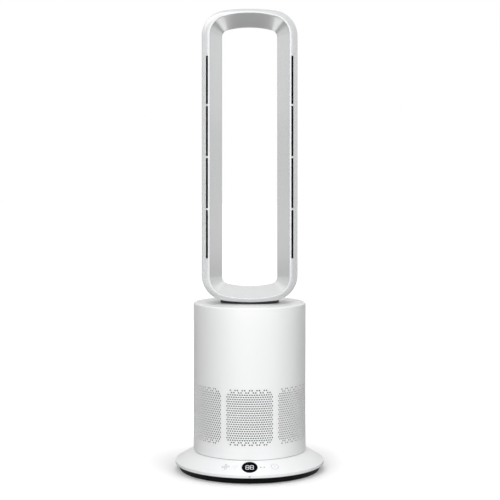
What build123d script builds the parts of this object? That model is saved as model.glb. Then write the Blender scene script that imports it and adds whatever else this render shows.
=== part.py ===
"""Bladeless tower fan: a round base, an oscillating drum with the fan inside, and a tall hollow loop.

Millimetres. +Z is up, the front faces -Y, and the origin is the centre of the base on the floor.
Each sub-part has its own function, and main() writes one STEP file for each of them.
"""

import os
from math import acos, atan2, cos, degrees, pi, radians, sin, sqrt, tan

from build123d import *

# ---------------------------------------------------------------- clearances
RUN_GAP = 0.05  # radial gap of a shaft in its bore
SLIP_GAP = 0.2  # gap of a piece that drops into its seat
TURN_GAP = 0.5  # gap round a piece that turns beside a fixed one
OVER = 1.0  # how far a cut runs past the face that it goes through

# ---------------------------------------------------------------- screws
SCREW_R = 1.5
SCREW_HEAD_R = 3.0
SCREW_HEAD = 1.8
SCREW_GRIP = 9.0  # how far a cover's screw reaches past the pan's floor
CROSS_LENGTH = 4.0
CROSS_WIDTH = 0.8
CROSS_DEPTH = 0.7
SMALL_HEAD_R = 2.7
SMALL_HEAD = 1.6
THREAD_END = 0.4  # from a short screw's end to the far face of its thread

# ---------------------------------------------------------------- base
BASE_R = 150.0
FOOT_COUNT = 6
FOOT_R = 9.0
FOOT_STAND = 2.0  # how far a foot reaches below the pan
FOOT_SEAT = 1.2  # depth of the pocket that holds it
FOOT_EDGE = 25.0  # from the base's edge to the feet's circle
FOOT_TURN = 30.0  # the feet stand between the screws
PAN_HEIGHT = 12.0
PAN_WALL = 2.5
PAN_EDGE = 3.0  # the pan's top edge lies this far inside the cover's edge
PAN_DRAFT = 6.0  # and its foot lies this much further in
RIB_COUNT = 12
RIB_THICK = 2.0
RIB_HEIGHT = 5.0
BAND_HEIGHT = 6.0  # upright band at the cover's edge
BAND_LIP = 1.5  # step between the band and the slope
BAND_BEVEL = 0.4  # height of the bevel on that step
SLOPE_RISE = 20.0
SLOPE_BULGE = 0.8  # how far the slope swells out of a straight cone
COVER_WALL = 2.6
DECK_DROP = 5.8  # from the cover's top edge down to the ring that carries the drum
WELL_DROP = 4.2  # from there down to the well of the gears
WELL_R = 80.0
COLLAR_WALL = 3.0
COLLAR_DROP = 8.0
BOSS_R = 4.0
BOSS_EDGE = 22.0  # from the base's edge to the circle of its screws

# ---------------------------------------------------------------- display and touch keys
LENS_R = 15.0
LENS_GAP = 0.15
LENS_REACH = 8.0  # length of the cylinder that cuts the lens out of the slope
LENS_SLOPE_AT = 0.53  # where the lens sits on the slope: 0 at the band, 1 at the drum
DIGIT_BLOCK = (21.0, 16.0, 5.0)
DIGIT_WIDTH = 6.72
DIGIT_HEIGHT = 11.52
SEGMENT_WIDTH = 1.2
SEGMENT_LEVEL = 5.04  # length of a level segment
SEGMENT_UPRIGHT = 4.0  # length of an upright one
SEGMENT_RISE = 0.4
STRIP_HALF_ANGLE = 25.0
STRIP_WIDTH = 15.0
STRIP_THICK = 1.0
STRIP_GAP = 0.3
RECEIVER_R = 2.0
RECEIVER_REACH = 12.0

# ---------------------------------------------------------------- power inlet
INLET_BLOCK = (10.0, 14.0)
INLET_UP = 4.6  # middle of the socket above the pan's floor
INLET_R = 4.0
INLET_BORE_R = 2.9
INLET_PIN_R = 1.0
INLET_BARREL = 4.5  # length of the barrel that reaches through the pan's wall
INLET_SETBACK = 1.5  # from the wall's inside to the block's face
INLET_BORE = 5.0  # depth of the bore behind the block's face
INLET_ROOF = 0.4
INLET_PIN_REACH = 3.0  # how far the pin reaches past the block's face

# ---------------------------------------------------------------- drum
DRUM_R = 113.5
DRUM_HEIGHT = 296.0
DRUM_WALL = 2.5
DRUM_EDGE_R = 3.0
DRUM_SEAM = 1.0  # open seam between the base cover and the drum
LEDGE_UP = 5.0  # inner ledge, from the drum's lower edge
LEDGE_THICK = 3.0
LEDGE_WIDTH = 5.0
RIM_WIDTH = 8.5  # width of the drum's rolled upper rim
COVER_DISC = 3.5
SCREEN_THICK = 1.2

# ---------------------------------------------------------------- intake holes
PANEL_PITCH = 53.5  # degrees between neighbouring panels
PANEL_COUNT = 5
PANEL_WIDTH = 97.0
HOLE_PITCH = 14.5
HOLE_ROW = 13.3
HOLE_R = 4.4
HOLES_LOW = 29.0  # first row, from the drum's lower edge
HOLE_ROWS = 9

# ---------------------------------------------------------------- turntable and drive
TABLE_THICK = 3.0
GLIDE_THICK = 2.0
GLIDE_WIDTH = 12.0
GLIDE_INSET = 7.0
HUB_R = 22.0
HUB_WALL = 5.0
HUB_COLLAR = 2.0  # width of the hub's bevel on the table
HUB_RISE = 5.0
TABLE_RIBS = 8
CASING_TURN = 45.0  # the first of the casing's screws, in degrees
KEEPER_R = 28.0
KEEPER_THICK = 2.0
KEEPER_GAP = 0.4
KEEPER_SCREWS = 3
KEEPER_GRIP = 7.0
GEAR_MODULE = 1.5
RING_TEETH = 72
PINION_TEETH = 12
GEAR_HEIGHT = 5.0
GEAR_RIM = 5.5
GEAR_BACKLASH = 0.25
ADDENDUM = 0.8  # tooth heights and flank points, in modules
DEDENDUM = 1.05
RING_DEDENDUM = 1.0
FLANK_LOW = 0.24
FLANK_HIGH = 0.4
PRESSURE_ANGLE = radians(20)
STEPPER_R = 14.0
STEPPER_HEIGHT = 19.0
STEPPER_SHAFT_R = 2.5
STEPPER_EDGE_R = 1.5
STEPPER_BORE = 8.0
EAR_REACH = 7.0
EAR_WIDTH = 7.0
EAR_THICK = 1.0

# ---------------------------------------------------------------- fan unit
LEG_COUNT = 4
LEG_R = 6.0
LEG_CIRCLE_R = 94.0
LEG_WALL = 2.0
LEG_ROOF = 4.0
LEG_FLARE = 2.0
LEG_FLARE_HIGH = 3.0
LEG_TURN = 22.5
DECK_UNDER = 151.0  # underside of the fan deck, from the drum's upper edge
DECK_THICK = 3.0
DECK_HOLE_R = 76.0
THROAT_R = 58.5
MOUTH_R = 72.0
BELL_WALL = 2.0
BELL_DROP = 5.0
BELL_RISE = 12.0
BELL_STEPS = 5
SHROUD_IN_R = 62.0
SHROUD_OUT_R = 76.0
SHROUD_WALL = 2.2
SHROUD_HEIGHT = 77.0
SHROUD_FLANGE = 8.0
SHROUD_FLANGE_THICK = 2.5
BLADE_COUNT = 9
BLADE_THICK = 1.6
BLADE_TWIST = 62.0
BLADE_LEVELS = 5
BLADE_HEIGHT = 32.0
TIP_GAP = 1.2
IMPELLER_HUB_LOW_R = 17.0
IMPELLER_HUB_HIGH_R = 42.0
IMPELLER_WALL = 2.0
IMPELLER_FLOOR = 3.0
IMPELLER_ROOT = 1.2  # how far a blade's root reaches into the hub
IMPELLER_BEVEL = 6.0
IMPELLER_BOSS_R = 7.0
IMPELLER_BOSS = 12.0
NUT_R = 5.5
NUT_HEIGHT = 3.5
VANE_COUNT = 11
VANE_THICK = 1.6
VANE_TWIST = -24.0
VANE_HEIGHT = 25.0
VANE_LEVELS = 4
VANE_RING = 2.0
VANE_FLANGE = 5.0
VANE_FLANGE_THICK = 2.0
CUP_R = 45.0
CUP_WALL = 2.0
CUP_HEIGHT = 44.0
CUP_FLANGE = 3.0
CAP_RISE = 16.0
CAP_STEPS = 5
MOTOR_SHAFT_R = 3.0
SHAFT_BELOW = 4.0  # how far the shaft reaches below the impeller
SHAFT_UNDER = 9.0  # from the shaft's upper end to the cup's rim
BEARING_R = 7.5
BEARING_HEIGHT = 5.0
BEARING_TUBE_WALL = 2.0
BEARING_TUBE_ABOVE = 8.0  # how far the bearing tube is longer than the wound core
STATOR_R = 23.0
STATOR_HEIGHT = 16.0
STATOR_UP = 4.0  # from the cup's floor to the coils
STATOR_TEETH = 9
CORE_WALL = 4.0
SHOE_THICK = 2.0
SHOE_WIDTH = 11.0
TOOTH_WIDTH = 4.0
COIL_WALL = 2.0
ROTOR_R = 31.0
ROTOR_WALL = 2.5
MAGNET_THICK = 3.0
BELL_UP = 3.0  # from the cup's floor to the bell's edge
BELL_ROOF = 3.0
BELL_ABOVE = 12.0  # how far the bell's roof lies above the wound core's height
MAGNET_LOW = 2.0
MAGNET_HIGH = 4.0
BELL_BOSS_R = 6.0
BELL_BOSS = 3.0

# ---------------------------------------------------------------- neck and loop
NECK_HALF_X = 52.0
NECK_HALF_Y = 36.0
NECK_WALL = 2.5
FLANGE_OUT = 5.0
FLANGE_THICK = 3.0
GASKET_WALL = 2.0
DUCT_WALL = 2.2
DUCT_COLLAR = 12.0  # straight upper end of the duct
DUCT_PLATE = 3.0
DUCT_PLATE_OUT = 10.0
NECK_SCREW_OUT = 3.2  # from the neck's outside to the middle of its screws
NECK_SCREW_TURN = radians(35)
LOOP_STAND = 4.5  # from the drum's top to the loop's lowest point
LOOP_HEIGHT = 585.0
LOOP_DEPTH = 100.0
LOOP_WALL = 2.5
LOOP_INNER_WALL = 2.2
LOOP_BACK_R = 20.0
LOOP_HALF_WIDTH = 95.5
LOOP_CORNER_R = 51.0
LOOP_ARCH_R = 415.0
FRONT_SIDE = 16.5  # width of the front band at the sides
FRONT_END = 8.25  # and at its top and bottom
FRONT_CORNER_R = 38.0
FRONT_ARCH_R = 200.0
BACK_SIDE = 38.7  # how far the rear opening lies inside the loop's outline at the sides
BACK_END = 24.6
BACK_CORNER_R = 15.0
BACK_ARCH_R = 147.0
REAR_LIP = 9.0  # width of the inner wall's lip in the rear face
BAND_THICK = 3.0
BAND_CROWN = 1.2  # how far the band's outer part falls back
BAND_CROWN_WIDTH = 7.0  # width of that part
BAND_EDGE_R = 1.0
SLOT_WIDTH = 4.0
SLOT_RUN = 403.8  # height of the row of slots
SLOT_BRIDGE = 3.8
BRIDGE_COUNT = 3
BRIDGE_PITCH = 103.8
SLOT_INSET = 10.4  # from the loop's side to the middle of the slots
SLOT_DROP = 3.1  # the row of slots lies this much below the loop's middle
NOZZLE_WALL = 1.4
NOZZLE_DEPTH = 9.0
NOZZLE_END = 4.0
NOZZLE_DRAFT = 1.0  # how far the channel's ends draw in

# ---------------------------------------------------------------- leads and boards
LEAD_R = 2.4
LEAD_BEND_R = 9.0
LEAD_DIP_R = 5.0
BOARD_THICK = 1.6
POST_R = 3.0
CONNECTOR = (8.0, 12.0, 7.0)
CONNECTOR_EDGE = 5.0  # from the board's edge to the connector's middle
CAPACITOR_R = 4.0
CAPACITOR_HEIGHT = 8.0
CAPACITORS_AT = ((-12.0, 10.0), (-2.0, 10.0))
COIL_R = 6.0
COIL_HEIGHT = 5.0
COIL_AT = (-8.0, -10.0)
CHIP = (9.0, 9.0, 1.4)
CHIP_AT = (8.0, -14.0)
PLUG_DEPTH = 4.0  # how far a lead reaches into its connector
LEAD_RUN = 8.0  # straight length of the lead out of its connector
LEAD_CLEAR = 0.5
MAIN_BOARD = (56.0, 52.0)
MAIN_BOARD_EDGE = 76.0  # from the base's edge to the middle of the main board
MAIN_BOARD_UP = 9.5
DRIVER_BOARD = (84.0, 62.0)
DRIVER_BOARD_UP = 10.8
SOCKET_HEIGHT = 14.0
SOCKET_AT = 26.0
BIG_CAPACITOR_R = 5.0
BIG_CAPACITOR_HEIGHT = 12.0
BIG_CAPACITOR_AT = (-26.0, 20.0)
BIG_CAPACITOR_PITCH = 12.0
BIG_CAPACITOR_COUNT = 3
SINK = (34.0, 12.0)
SINK_AT = (-14.0, -18.0)
SINK_FLOOR = 3.0
SINK_HEIGHT = 12.0
FIN_COUNT = 5
FIN_THICK = 1.2
FIN_PITCH = 2.6
BALLAST_IN_R = 66.0
BALLAST_EDGE = 40.0  # from the base's edge to the ballast's edge
BALLAST_THICK = 4.0

# ---------------------------------------------------------------- heights worked out from the sizes
PAN_LOW = FOOT_STAND
PAN_HIGH = PAN_LOW + PAN_HEIGHT
PAN_INSIDE = PAN_LOW + PAN_WALL
BAND_HIGH = PAN_HIGH + BAND_HEIGHT
SLOPE_HIGH = BAND_HIGH + SLOPE_RISE
DECK_HIGH = SLOPE_HIGH - DECK_DROP
WELL_HIGH = DECK_HIGH - WELL_DROP
WELL_LOW = WELL_HIGH - COVER_WALL
COLLAR_LOW = WELL_HIGH - COLLAR_DROP
TABLE_LOW = DECK_HIGH + GLIDE_THICK
TABLE_HIGH = TABLE_LOW + TABLE_THICK
DRUM_LOW = SLOPE_HIGH + DRUM_SEAM
DRUM_HIGH = DRUM_LOW + DRUM_HEIGHT
LEDGE_LOW = DRUM_LOW + LEDGE_UP
LEDGE_HIGH = LEDGE_LOW + LEDGE_THICK
FAN_DECK_LOW = DRUM_HIGH - DECK_UNDER
FAN_DECK_HIGH = FAN_DECK_LOW + DECK_THICK
SHROUD_LOW = FAN_DECK_HIGH + BELL_WALL
SHROUD_HIGH = SHROUD_LOW + SHROUD_HEIGHT
BELL_HIGH = FAN_DECK_HIGH + BELL_RISE
IMPELLER_LOW = BELL_HIGH + 2 * TIP_GAP
IMPELLER_HIGH = IMPELLER_LOW + BLADE_HEIGHT
VANES_HIGH = SHROUD_HIGH
VANES_LOW = VANES_HIGH - VANE_HEIGHT
CUP_HIGH = VANES_HIGH + CUP_HEIGHT - VANE_HEIGHT
CUP_LOW = CUP_HIGH - CUP_HEIGHT
DISC_LOW = DRUM_HIGH - COVER_DISC
FLANGE_LOW = DISC_LOW - COVER_DISC
LOOP_LOW = DRUM_HIGH + LOOP_STAND
LOOP_HIGH = LOOP_LOW + LOOP_HEIGHT
LOOP_FRONT = -LOOP_DEPTH / 2
LOOP_BACK = LOOP_DEPTH / 2
LOOP_MID = (LOOP_LOW + LOOP_HIGH) / 2

# ---------------------------------------------------------------- other places worked out
DRUM_IN_R = DRUM_R - DRUM_WALL
TABLE_R = DRUM_IN_R - TURN_GAP
RECESS_R = DRUM_R - COVER_WALL
FOOT_CIRCLE_R = BASE_R - FOOT_EDGE
BOSS_CIRCLE_R = BASE_R - BOSS_EDGE
BALLAST_OUT_R = BASE_R - BALLAST_EDGE
MAIN_BOARD_AT = (MAIN_BOARD_EDGE - BASE_R, 0.0)
SLOPE_LOW_R = BASE_R - BAND_LIP
PINION_Y = GEAR_MODULE * (RING_TEETH - PINION_TEETH) / 2
SLOPE_ANGLE = atan2(SLOPE_RISE, SLOPE_LOW_R - DRUM_R)
LENS_AT_R = SLOPE_LOW_R - LENS_SLOPE_AT * (SLOPE_LOW_R - DRUM_R)
LENS_AT_Z = BAND_HIGH + LENS_SLOPE_AT * SLOPE_RISE + SLOPE_BULGE
NECK_TOP = LOOP_LOW + FRONT_END
GEAR_LOW = TABLE_LOW - GEAR_HEIGHT
KEEPER_HIGH = COLLAR_LOW - KEEPER_GAP
KEEPER_LOW = KEEPER_HIGH - KEEPER_THICK
LEAD_SPLIT = COLLAR_LOW + LEAD_R
BEARING_TUBE_TOP = CUP_LOW + CUP_WALL + STATOR_HEIGHT + BEARING_TUBE_ABOVE
MAIN_BOARD_LOW = PAN_INSIDE + MAIN_BOARD_UP
DRIVER_BOARD_LOW = TABLE_HIGH + DRIVER_BOARD_UP


# ================================================================ shared shapes
def upright(radius, low, high, x=0.0, y=0.0):
    """A round bar standing from low to high."""
    bar = Cylinder(radius, high - low, align=(Align.CENTER, Align.CENTER, Align.MIN))
    return Pos(x, y, low) * bar


def tube(outer, inner, low, high, x=0.0, y=0.0):
    """A round tube standing from low to high."""
    return upright(outer, low, high, x, y) - upright(inner, low - 1, high + 1, x, y)


def block(size_x, size_y, low, high, x=0.0, y=0.0):
    """A rectangular block standing from low to high."""
    body = Box(size_x, size_y, high - low, align=(Align.CENTER, Align.CENTER, Align.MIN))
    return Pos(x, y, low) * body


def turned(points):
    """A solid of revolution about Z from a closed outline of (radius, height) points."""
    outline = Polyline(*[(r, 0, z) for r, z in points], close=True)
    return revolve(make_face(outline), Axis.Z)


def around(shape, count, start=0.0):
    """Copies of a shape, evenly spaced about Z."""
    return [Rot(Z=start + 360 * n / count) * shape for n in range(count)]


def oval(half_x, half_y, low, high):
    """An upright oval bar."""
    return Pos(0, 0, low) * extrude(Ellipse(half_x, half_y), high - low)


def twisted_vane(levels, thick):
    """A thin vane lofted through levels of (height, inner radius, outer radius, angle in degrees)."""
    sections = []
    for height, inner, outer, angle in levels:
        strip = Pos((inner + outer) / 2, 0) * Rectangle(outer - inner, thick)
        sections.append(Pos(0, 0, height) * Rot(Z=angle) * strip)
    return loft(sections, ruled=True)


def involute(angle):
    """The involute function of a pressure angle."""
    return tan(angle) - angle


def gear_face(teeth, tip, root, thickening, radii):
    """The face of a spur gear with a tooth centred on +Y, its flanks drawn through radii."""
    pitch = GEAR_MODULE * teeth / 2
    base = pitch * cos(PRESSURE_ANGLE)
    points = []
    for tooth in range(teeth):
        middle = pi / 2 + 2 * pi * tooth / teeth
        flank = []
        for radius in [root, *radii, tip]:
            pressure = acos(min(1.0, base / radius))
            half = pi / (2 * teeth) + thickening / (2 * pitch)
            half += involute(PRESSURE_ANGLE) - involute(pressure)
            flank.append((radius, half))
        for radius, half in flank:
            points.append((radius * cos(middle - half), radius * sin(middle - half)))
        for radius, half in reversed(flank):
            points.append((radius * cos(middle + half), radius * sin(middle + half)))
    return make_face(Polyline(*points, close=True))


# ================================================================ base
def rubber_feet():
    """Soft pads pressed into pockets under the pan."""
    foot = upright(FOOT_R, 0, PAN_LOW + FOOT_SEAT, FOOT_CIRCLE_R)
    foot = chamfer(foot.edges().group_by(Axis.Z)[0], FOOT_STAND / 3)
    return Compound(children=around(foot, FOOT_COUNT, FOOT_TURN))


def base_pan():
    """The dark lower tray: a tapered wall, floor ribs, board posts, foot pockets and screw holes."""
    top_r = BASE_R - PAN_EDGE
    low_r = top_r - PAN_DRAFT
    pan = turned(
        [
            (0, PAN_LOW),
            (low_r, PAN_LOW),
            (top_r, PAN_HIGH),
            (top_r - PAN_WALL, PAN_HIGH),
            (low_r - PAN_WALL, PAN_INSIDE),
            (0, PAN_INSIDE),
        ]
    )
    rib_length = low_r - PAN_WALL - BALLAST_OUT_R - TURN_GAP
    rib_middle = BALLAST_OUT_R + TURN_GAP + rib_length / 2
    rib = block(rib_length, RIB_THICK, PAN_INSIDE, PAN_INSIDE + RIB_HEIGHT, rib_middle)
    pan += around(rib, RIB_COUNT, 180 / RIB_COUNT)
    for x, y in board_posts(MAIN_BOARD, MAIN_BOARD_AT):
        pan += tube(POST_R, SCREW_R / 2, PAN_INSIDE, MAIN_BOARD_LOW, x, y)
    pocket = upright(FOOT_R + SLIP_GAP, 0, PAN_LOW + FOOT_SEAT, FOOT_CIRCLE_R)
    pan -= around(pocket, FOOT_COUNT, FOOT_TURN)
    hole = upright(SCREW_R + SLIP_GAP, 0, PAN_INSIDE + 1, BOSS_CIRCLE_R)
    head = upright(SCREW_HEAD_R + SLIP_GAP, 0, PAN_LOW + SCREW_HEAD, BOSS_CIRCLE_R)
    pan -= around(hole, FOOT_COUNT) + around(head, FOOT_COUNT)
    pan -= Pos(0, top_r, inlet_height()) * Rot(X=90) * Cylinder(INLET_R + SLIP_GAP, 4 * (PAN_DRAFT + OVER))
    return pan


def base_screws():
    """Screws that hold the cover to the pan, from below."""
    low = PAN_LOW + SLIP_GAP
    head = upright(SCREW_HEAD_R, low, PAN_LOW + SCREW_HEAD, BOSS_CIRCLE_R)
    head -= block(CROSS_LENGTH, CROSS_WIDTH, 0, low + CROSS_DEPTH, BOSS_CIRCLE_R)
    head -= block(CROSS_WIDTH, CROSS_LENGTH, 0, low + CROSS_DEPTH, BOSS_CIRCLE_R)
    shank = upright(SCREW_R, PAN_LOW + SCREW_HEAD, PAN_INSIDE + SCREW_GRIP, BOSS_CIRCLE_R)
    return Compound(children=around(head + shank, FOOT_COUNT))


def ballast_plate():
    """A steel ring on the pan's floor that keeps the tall loop from tipping."""
    ring = tube(BALLAST_OUT_R, BALLAST_IN_R, PAN_INSIDE, PAN_INSIDE + BALLAST_THICK)
    for x, y in board_posts(MAIN_BOARD, MAIN_BOARD_AT):
        ring -= upright(POST_R + TURN_GAP, 0, PAN_HIGH, x, y)
    return ring


def slope_profile(shift):
    """The slope's arc in the XZ plane, moved down by shift."""
    low = Vector(SLOPE_LOW_R, 0, BAND_HIGH - shift)
    high = Vector(DRUM_R, 0, SLOPE_HIGH - shift)
    swell = Vector(sin(SLOPE_ANGLE), 0, cos(SLOPE_ANGLE)) * SLOPE_BULGE
    return ThreePointArc(low, (low + high) / 2 + swell, high)


def cover_block():
    """The cover's outside as a full solid, with the round recess that the turntable sits in."""
    slope = slope_profile(0)
    bevel = BAND_HIGH - BAND_BEVEL
    edges = [
        Polyline((0, 0, WELL_HIGH), (0, 0, PAN_HIGH), (BASE_R, 0, PAN_HIGH), (BASE_R, 0, bevel)),
        Line((BASE_R, 0, bevel), slope @ 0),
        slope,
        Polyline(slope @ 1, (RECESS_R, 0, SLOPE_HIGH), (RECESS_R, 0, DECK_HIGH)),
        Polyline((RECESS_R, 0, DECK_HIGH), (WELL_R, 0, DECK_HIGH), (WELL_R, 0, WELL_HIGH)),
        Line((WELL_R, 0, WELL_HIGH), (0, 0, WELL_HIGH)),
    ]
    return revolve(make_face(edges), Axis.Z)


def cover_cavity():
    """The space under the cover: it follows the slope, the turntable's recess and the gear well."""
    shift = COVER_WALL / cos(SLOPE_ANGLE)
    slope = slope_profile(shift)
    inner_r = BASE_R - COVER_WALL
    under = DECK_HIGH - COVER_WALL
    edges = [
        Polyline((0, 0, WELL_LOW), (0, 0, 0), (inner_r, 0, 0), (inner_r, 0, BAND_HIGH - shift), slope @ 0),
        slope,
        Polyline(slope @ 1, (DRUM_R, 0, under), (WELL_R + COVER_WALL, 0, under)),
        Line((WELL_R + COVER_WALL, 0, under), (WELL_R + COVER_WALL, 0, WELL_LOW)),
        Line((WELL_R + COVER_WALL, 0, WELL_LOW), (0, 0, WELL_LOW)),
    ]
    return revolve(make_face(edges), Axis.Z)


def on_slope(x):
    """The place on the slope's surface at a sideways distance x from the middle, facing outwards."""
    turn = degrees(x / LENS_AT_R)
    place = Plane(
        origin=(0, -LENS_AT_R, LENS_AT_Z),
        x_dir=(1, 0, 0),
        z_dir=(0, -sin(SLOPE_ANGLE), cos(SLOPE_ANGLE)),
    )
    return Rot(Z=turn) * place.location


def base_cover():
    """The white upper shell: band, swelling slope, drum recess, gear well, collar and screw bosses."""
    whole = cover_block()
    shell = whole - cover_cavity()
    boss = upright(BOSS_R, PAN_INSIDE, SLOPE_HIGH, BOSS_CIRCLE_R)
    for one in around(boss, FOOT_COUNT):
        shell += one & (whole + upright(BASE_R - BOSS_R, 0, PAN_HIGH))
    pilot = upright(SCREW_R, 0, PAN_INSIDE + SCREW_GRIP + OVER, BOSS_CIRCLE_R)
    shell -= around(pilot, FOOT_COUNT)
    shell += upright(HUB_R + COLLAR_WALL, COLLAR_LOW, WELL_HIGH)
    shell -= upright(HUB_R + RUN_GAP, 0, DRUM_LOW)
    shell -= upright(STEPPER_SHAFT_R * 2, 0, DRUM_LOW, 0, PINION_Y)
    shell -= on_slope(0) * Cylinder(LENS_R, LENS_REACH)
    shell -= receiver_place() * Cylinder(RECEIVER_R, RECEIVER_REACH)
    return shell


def display_lens():
    """A dark round window cut from the slope's own surface, so that it lies flush."""
    shell = cover_block() - cover_cavity()
    return shell & (on_slope(0) * Cylinder(LENS_R - LENS_GAP, LENS_REACH))


def receiver_place():
    """Where the remote control's receiver looks out of the band."""
    return Pos(0, -BASE_R, PAN_HIGH + BAND_HEIGHT / 2) * Rot(X=90)


def receiver_window():
    """A small dark window in the band for the remote control's signal."""
    shell = cover_block() - cover_cavity()
    return shell & (receiver_place() * Cylinder(RECEIVER_R - LENS_GAP, RECEIVER_REACH))


def display_module():
    """Two digits behind the lens: a block with raised segments on a small carrier."""
    wide, tall, deep = DIGIT_BLOCK
    under = COVER_WALL + SLOPE_BULGE
    body = Box(wide, tall, deep, align=(Align.CENTER, Align.CENTER, Align.MAX))
    module = Pos(0, 0, -under) * body
    for side in (-1, 1):
        middle = side * wide / 4
        for up in (-1, 0, 1):
            place = Pos(middle, up * DIGIT_HEIGHT / 2, -under)
            module += place * Box(SEGMENT_LEVEL, SEGMENT_WIDTH, 2 * SEGMENT_RISE)
        for across in (-1, 1):
            for up in (-1, 1):
                place = Pos(middle + across * DIGIT_WIDTH / 2, up * DIGIT_HEIGHT / 4, -under)
                module += place * Box(SEGMENT_WIDTH, SEGMENT_UPRIGHT, 2 * SEGMENT_RISE)
    return on_slope(0) * module


def touch_strip():
    """A curved circuit strip under the slope that carries the touch keys beside the display."""
    under = (COVER_WALL + STRIP_GAP) / cos(SLOPE_ANGLE)
    half = STRIP_WIDTH / 2
    rise = half * sin(SLOPE_ANGLE)
    reach = half * cos(SLOPE_ANGLE)
    middle = LENS_AT_Z - under
    low = (LENS_AT_R + reach, middle - rise)
    high = (LENS_AT_R - reach, middle + rise)
    drop = STRIP_THICK / cos(SLOPE_ANGLE)
    outline = [low, high, (high[0], high[1] - drop), (low[0], low[1] - drop)]
    strip = revolve(
        make_face(Polyline(*[(r, 0, z) for r, z in outline], close=True)),
        Axis.Z,
        revolution_arc=2 * STRIP_HALF_ANGLE,
    )
    strip = Rot(Z=-90 - STRIP_HALF_ANGLE) * strip
    wide, tall, deep = DIGIT_BLOCK
    window = on_slope(0) * Box(wide + 2 * TURN_GAP, tall + 2 * TURN_GAP, 4 * STRIP_WIDTH)
    return strip - window


def board_posts(size, place):
    """The four fixing points of a circuit board."""
    step_x = size[0] / 2 - 2 * POST_R
    step_y = size[1] / 2 - 2 * POST_R
    return [(place[0] + sx * step_x, place[1] + sy * step_y) for sx in (-1, 1) for sy in (-1, 1)]


def circuit_board(size, place, low):
    """A board with rounded corners and fixing holes."""
    board = Pos(*place, low) * extrude(RectangleRounded(*size, POST_R), BOARD_THICK)
    for x, y in board_posts(size, place):
        board -= upright(SCREW_R, low - OVER, low + BOARD_THICK + OVER, x, y)
    return board


def main_board():
    """The power and control board: connector, coil, two capacitors and a chip."""
    top = MAIN_BOARD_LOW + BOARD_THICK
    x, y = MAIN_BOARD_AT
    board = circuit_board(MAIN_BOARD, MAIN_BOARD_AT, MAIN_BOARD_LOW)
    edge = x + MAIN_BOARD[0] / 2
    board += block(CONNECTOR[0], CONNECTOR[1], top, top + CONNECTOR[2], edge - CONNECTOR_EDGE, y)
    for dx, dy in CAPACITORS_AT:
        board += upright(CAPACITOR_R, top, top + CAPACITOR_HEIGHT, x + dx, y + dy)
    board += tube(COIL_R, COIL_R / 2, top, top + COIL_HEIGHT, x + COIL_AT[0], y + COIL_AT[1])
    return board + block(CHIP[0], CHIP[1], top, top + CHIP[2], x + CHIP_AT[0], y + CHIP_AT[1])


def inlet_height():
    """The middle height of the power inlet."""
    return PAN_INSIDE + INLET_UP


def power_inlet():
    """A low-voltage socket at the back: a barrel with its centre pin."""
    wide, long = INLET_BLOCK
    back = BASE_R - PAN_EDGE - PAN_DRAFT - PAN_WALL - INLET_SETBACK
    body = block(wide, long, PAN_INSIDE, inlet_height() + INLET_R + INLET_ROOF, 0, back - long / 2)
    axis = Pos(0, back, inlet_height()) * Rot(X=-90)
    upwards = (Align.CENTER, Align.CENTER, Align.MIN)
    body += axis * Cylinder(INLET_R, INLET_BARREL, align=upwards)
    body -= axis * Pos(0, 0, -INLET_BORE) * Cylinder(INLET_BORE_R, 4 * INLET_BORE, align=upwards)
    pin = Cylinder(INLET_PIN_R, INLET_BORE + INLET_PIN_REACH, align=upwards)
    return body + axis * Pos(0, 0, -INLET_BORE) * pin


def stepper_motor():
    """The oscillation motor under the well, with two mounting ears and a shaft collar."""
    low = WELL_LOW - STEPPER_HEIGHT
    motor = upright(STEPPER_R, low, WELL_LOW, 0, PINION_Y)
    motor = fillet(motor.edges().group_by(Axis.Z)[0], STEPPER_EDGE_R)
    ears = 2 * (STEPPER_R + EAR_REACH)
    motor += block(ears, EAR_WIDTH, WELL_LOW - EAR_THICK, WELL_LOW, 0, PINION_Y)
    motor += upright(2 * STEPPER_SHAFT_R - SLIP_GAP, WELL_LOW, WELL_HIGH, 0, PINION_Y)
    for side in (-1, 1):
        motor -= upright(SCREW_R, 0, WELL_LOW, side * (STEPPER_R + EAR_REACH / 2), PINION_Y)
    motor -= upright(STEPPER_SHAFT_R + RUN_GAP, WELL_LOW - STEPPER_BORE, DRUM_LOW, 0, PINION_Y)
    return motor


def glide_ring():
    """A slippery ring that the turntable slides on."""
    outer = RECESS_R - GLIDE_INSET
    return tube(outer, outer - GLIDE_WIDTH, DECK_HIGH, TABLE_LOW)


def base_lead():
    """The fixed half of the inner lead, from the main board to the axis of oscillation."""
    connector = MAIN_BOARD_AT[0] + MAIN_BOARD[0] / 2 - CONNECTOR_EDGE
    start = connector + PLUG_DEPTH
    height = MAIN_BOARD_LOW + BOARD_THICK + CONNECTOR[2] / 2
    dip = PAN_INSIDE + LEAD_R + LEAD_CLEAR
    route = [(start, 0, height), (start + LEAD_RUN, 0, height), (0, 0, dip), (0, 0, LEAD_SPLIT)]
    path = FilletPolyline(*route, radius=LEAD_DIP_R)
    return sweep((path ^ 0) * Circle(LEAD_R), path=path)


# ================================================================ drive
def drive_pinion():
    """The small gear on the oscillation motor's shaft."""
    pitch = GEAR_MODULE * PINION_TEETH / 2
    face = gear_face(
        PINION_TEETH,
        pitch + ADDENDUM * GEAR_MODULE,
        pitch - DEDENDUM * GEAR_MODULE,
        -GEAR_BACKLASH,
        [pitch - FLANK_LOW * GEAR_MODULE, pitch, pitch + FLANK_HIGH * GEAR_MODULE],
    )
    low = GEAR_LOW + SLIP_GAP
    gear = Pos(0, PINION_Y, low) * extrude(face, GEAR_HEIGHT - 2 * SLIP_GAP)
    return gear - upright(STEPPER_SHAFT_R, 0, DRUM_LOW, 0, PINION_Y)


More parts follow.
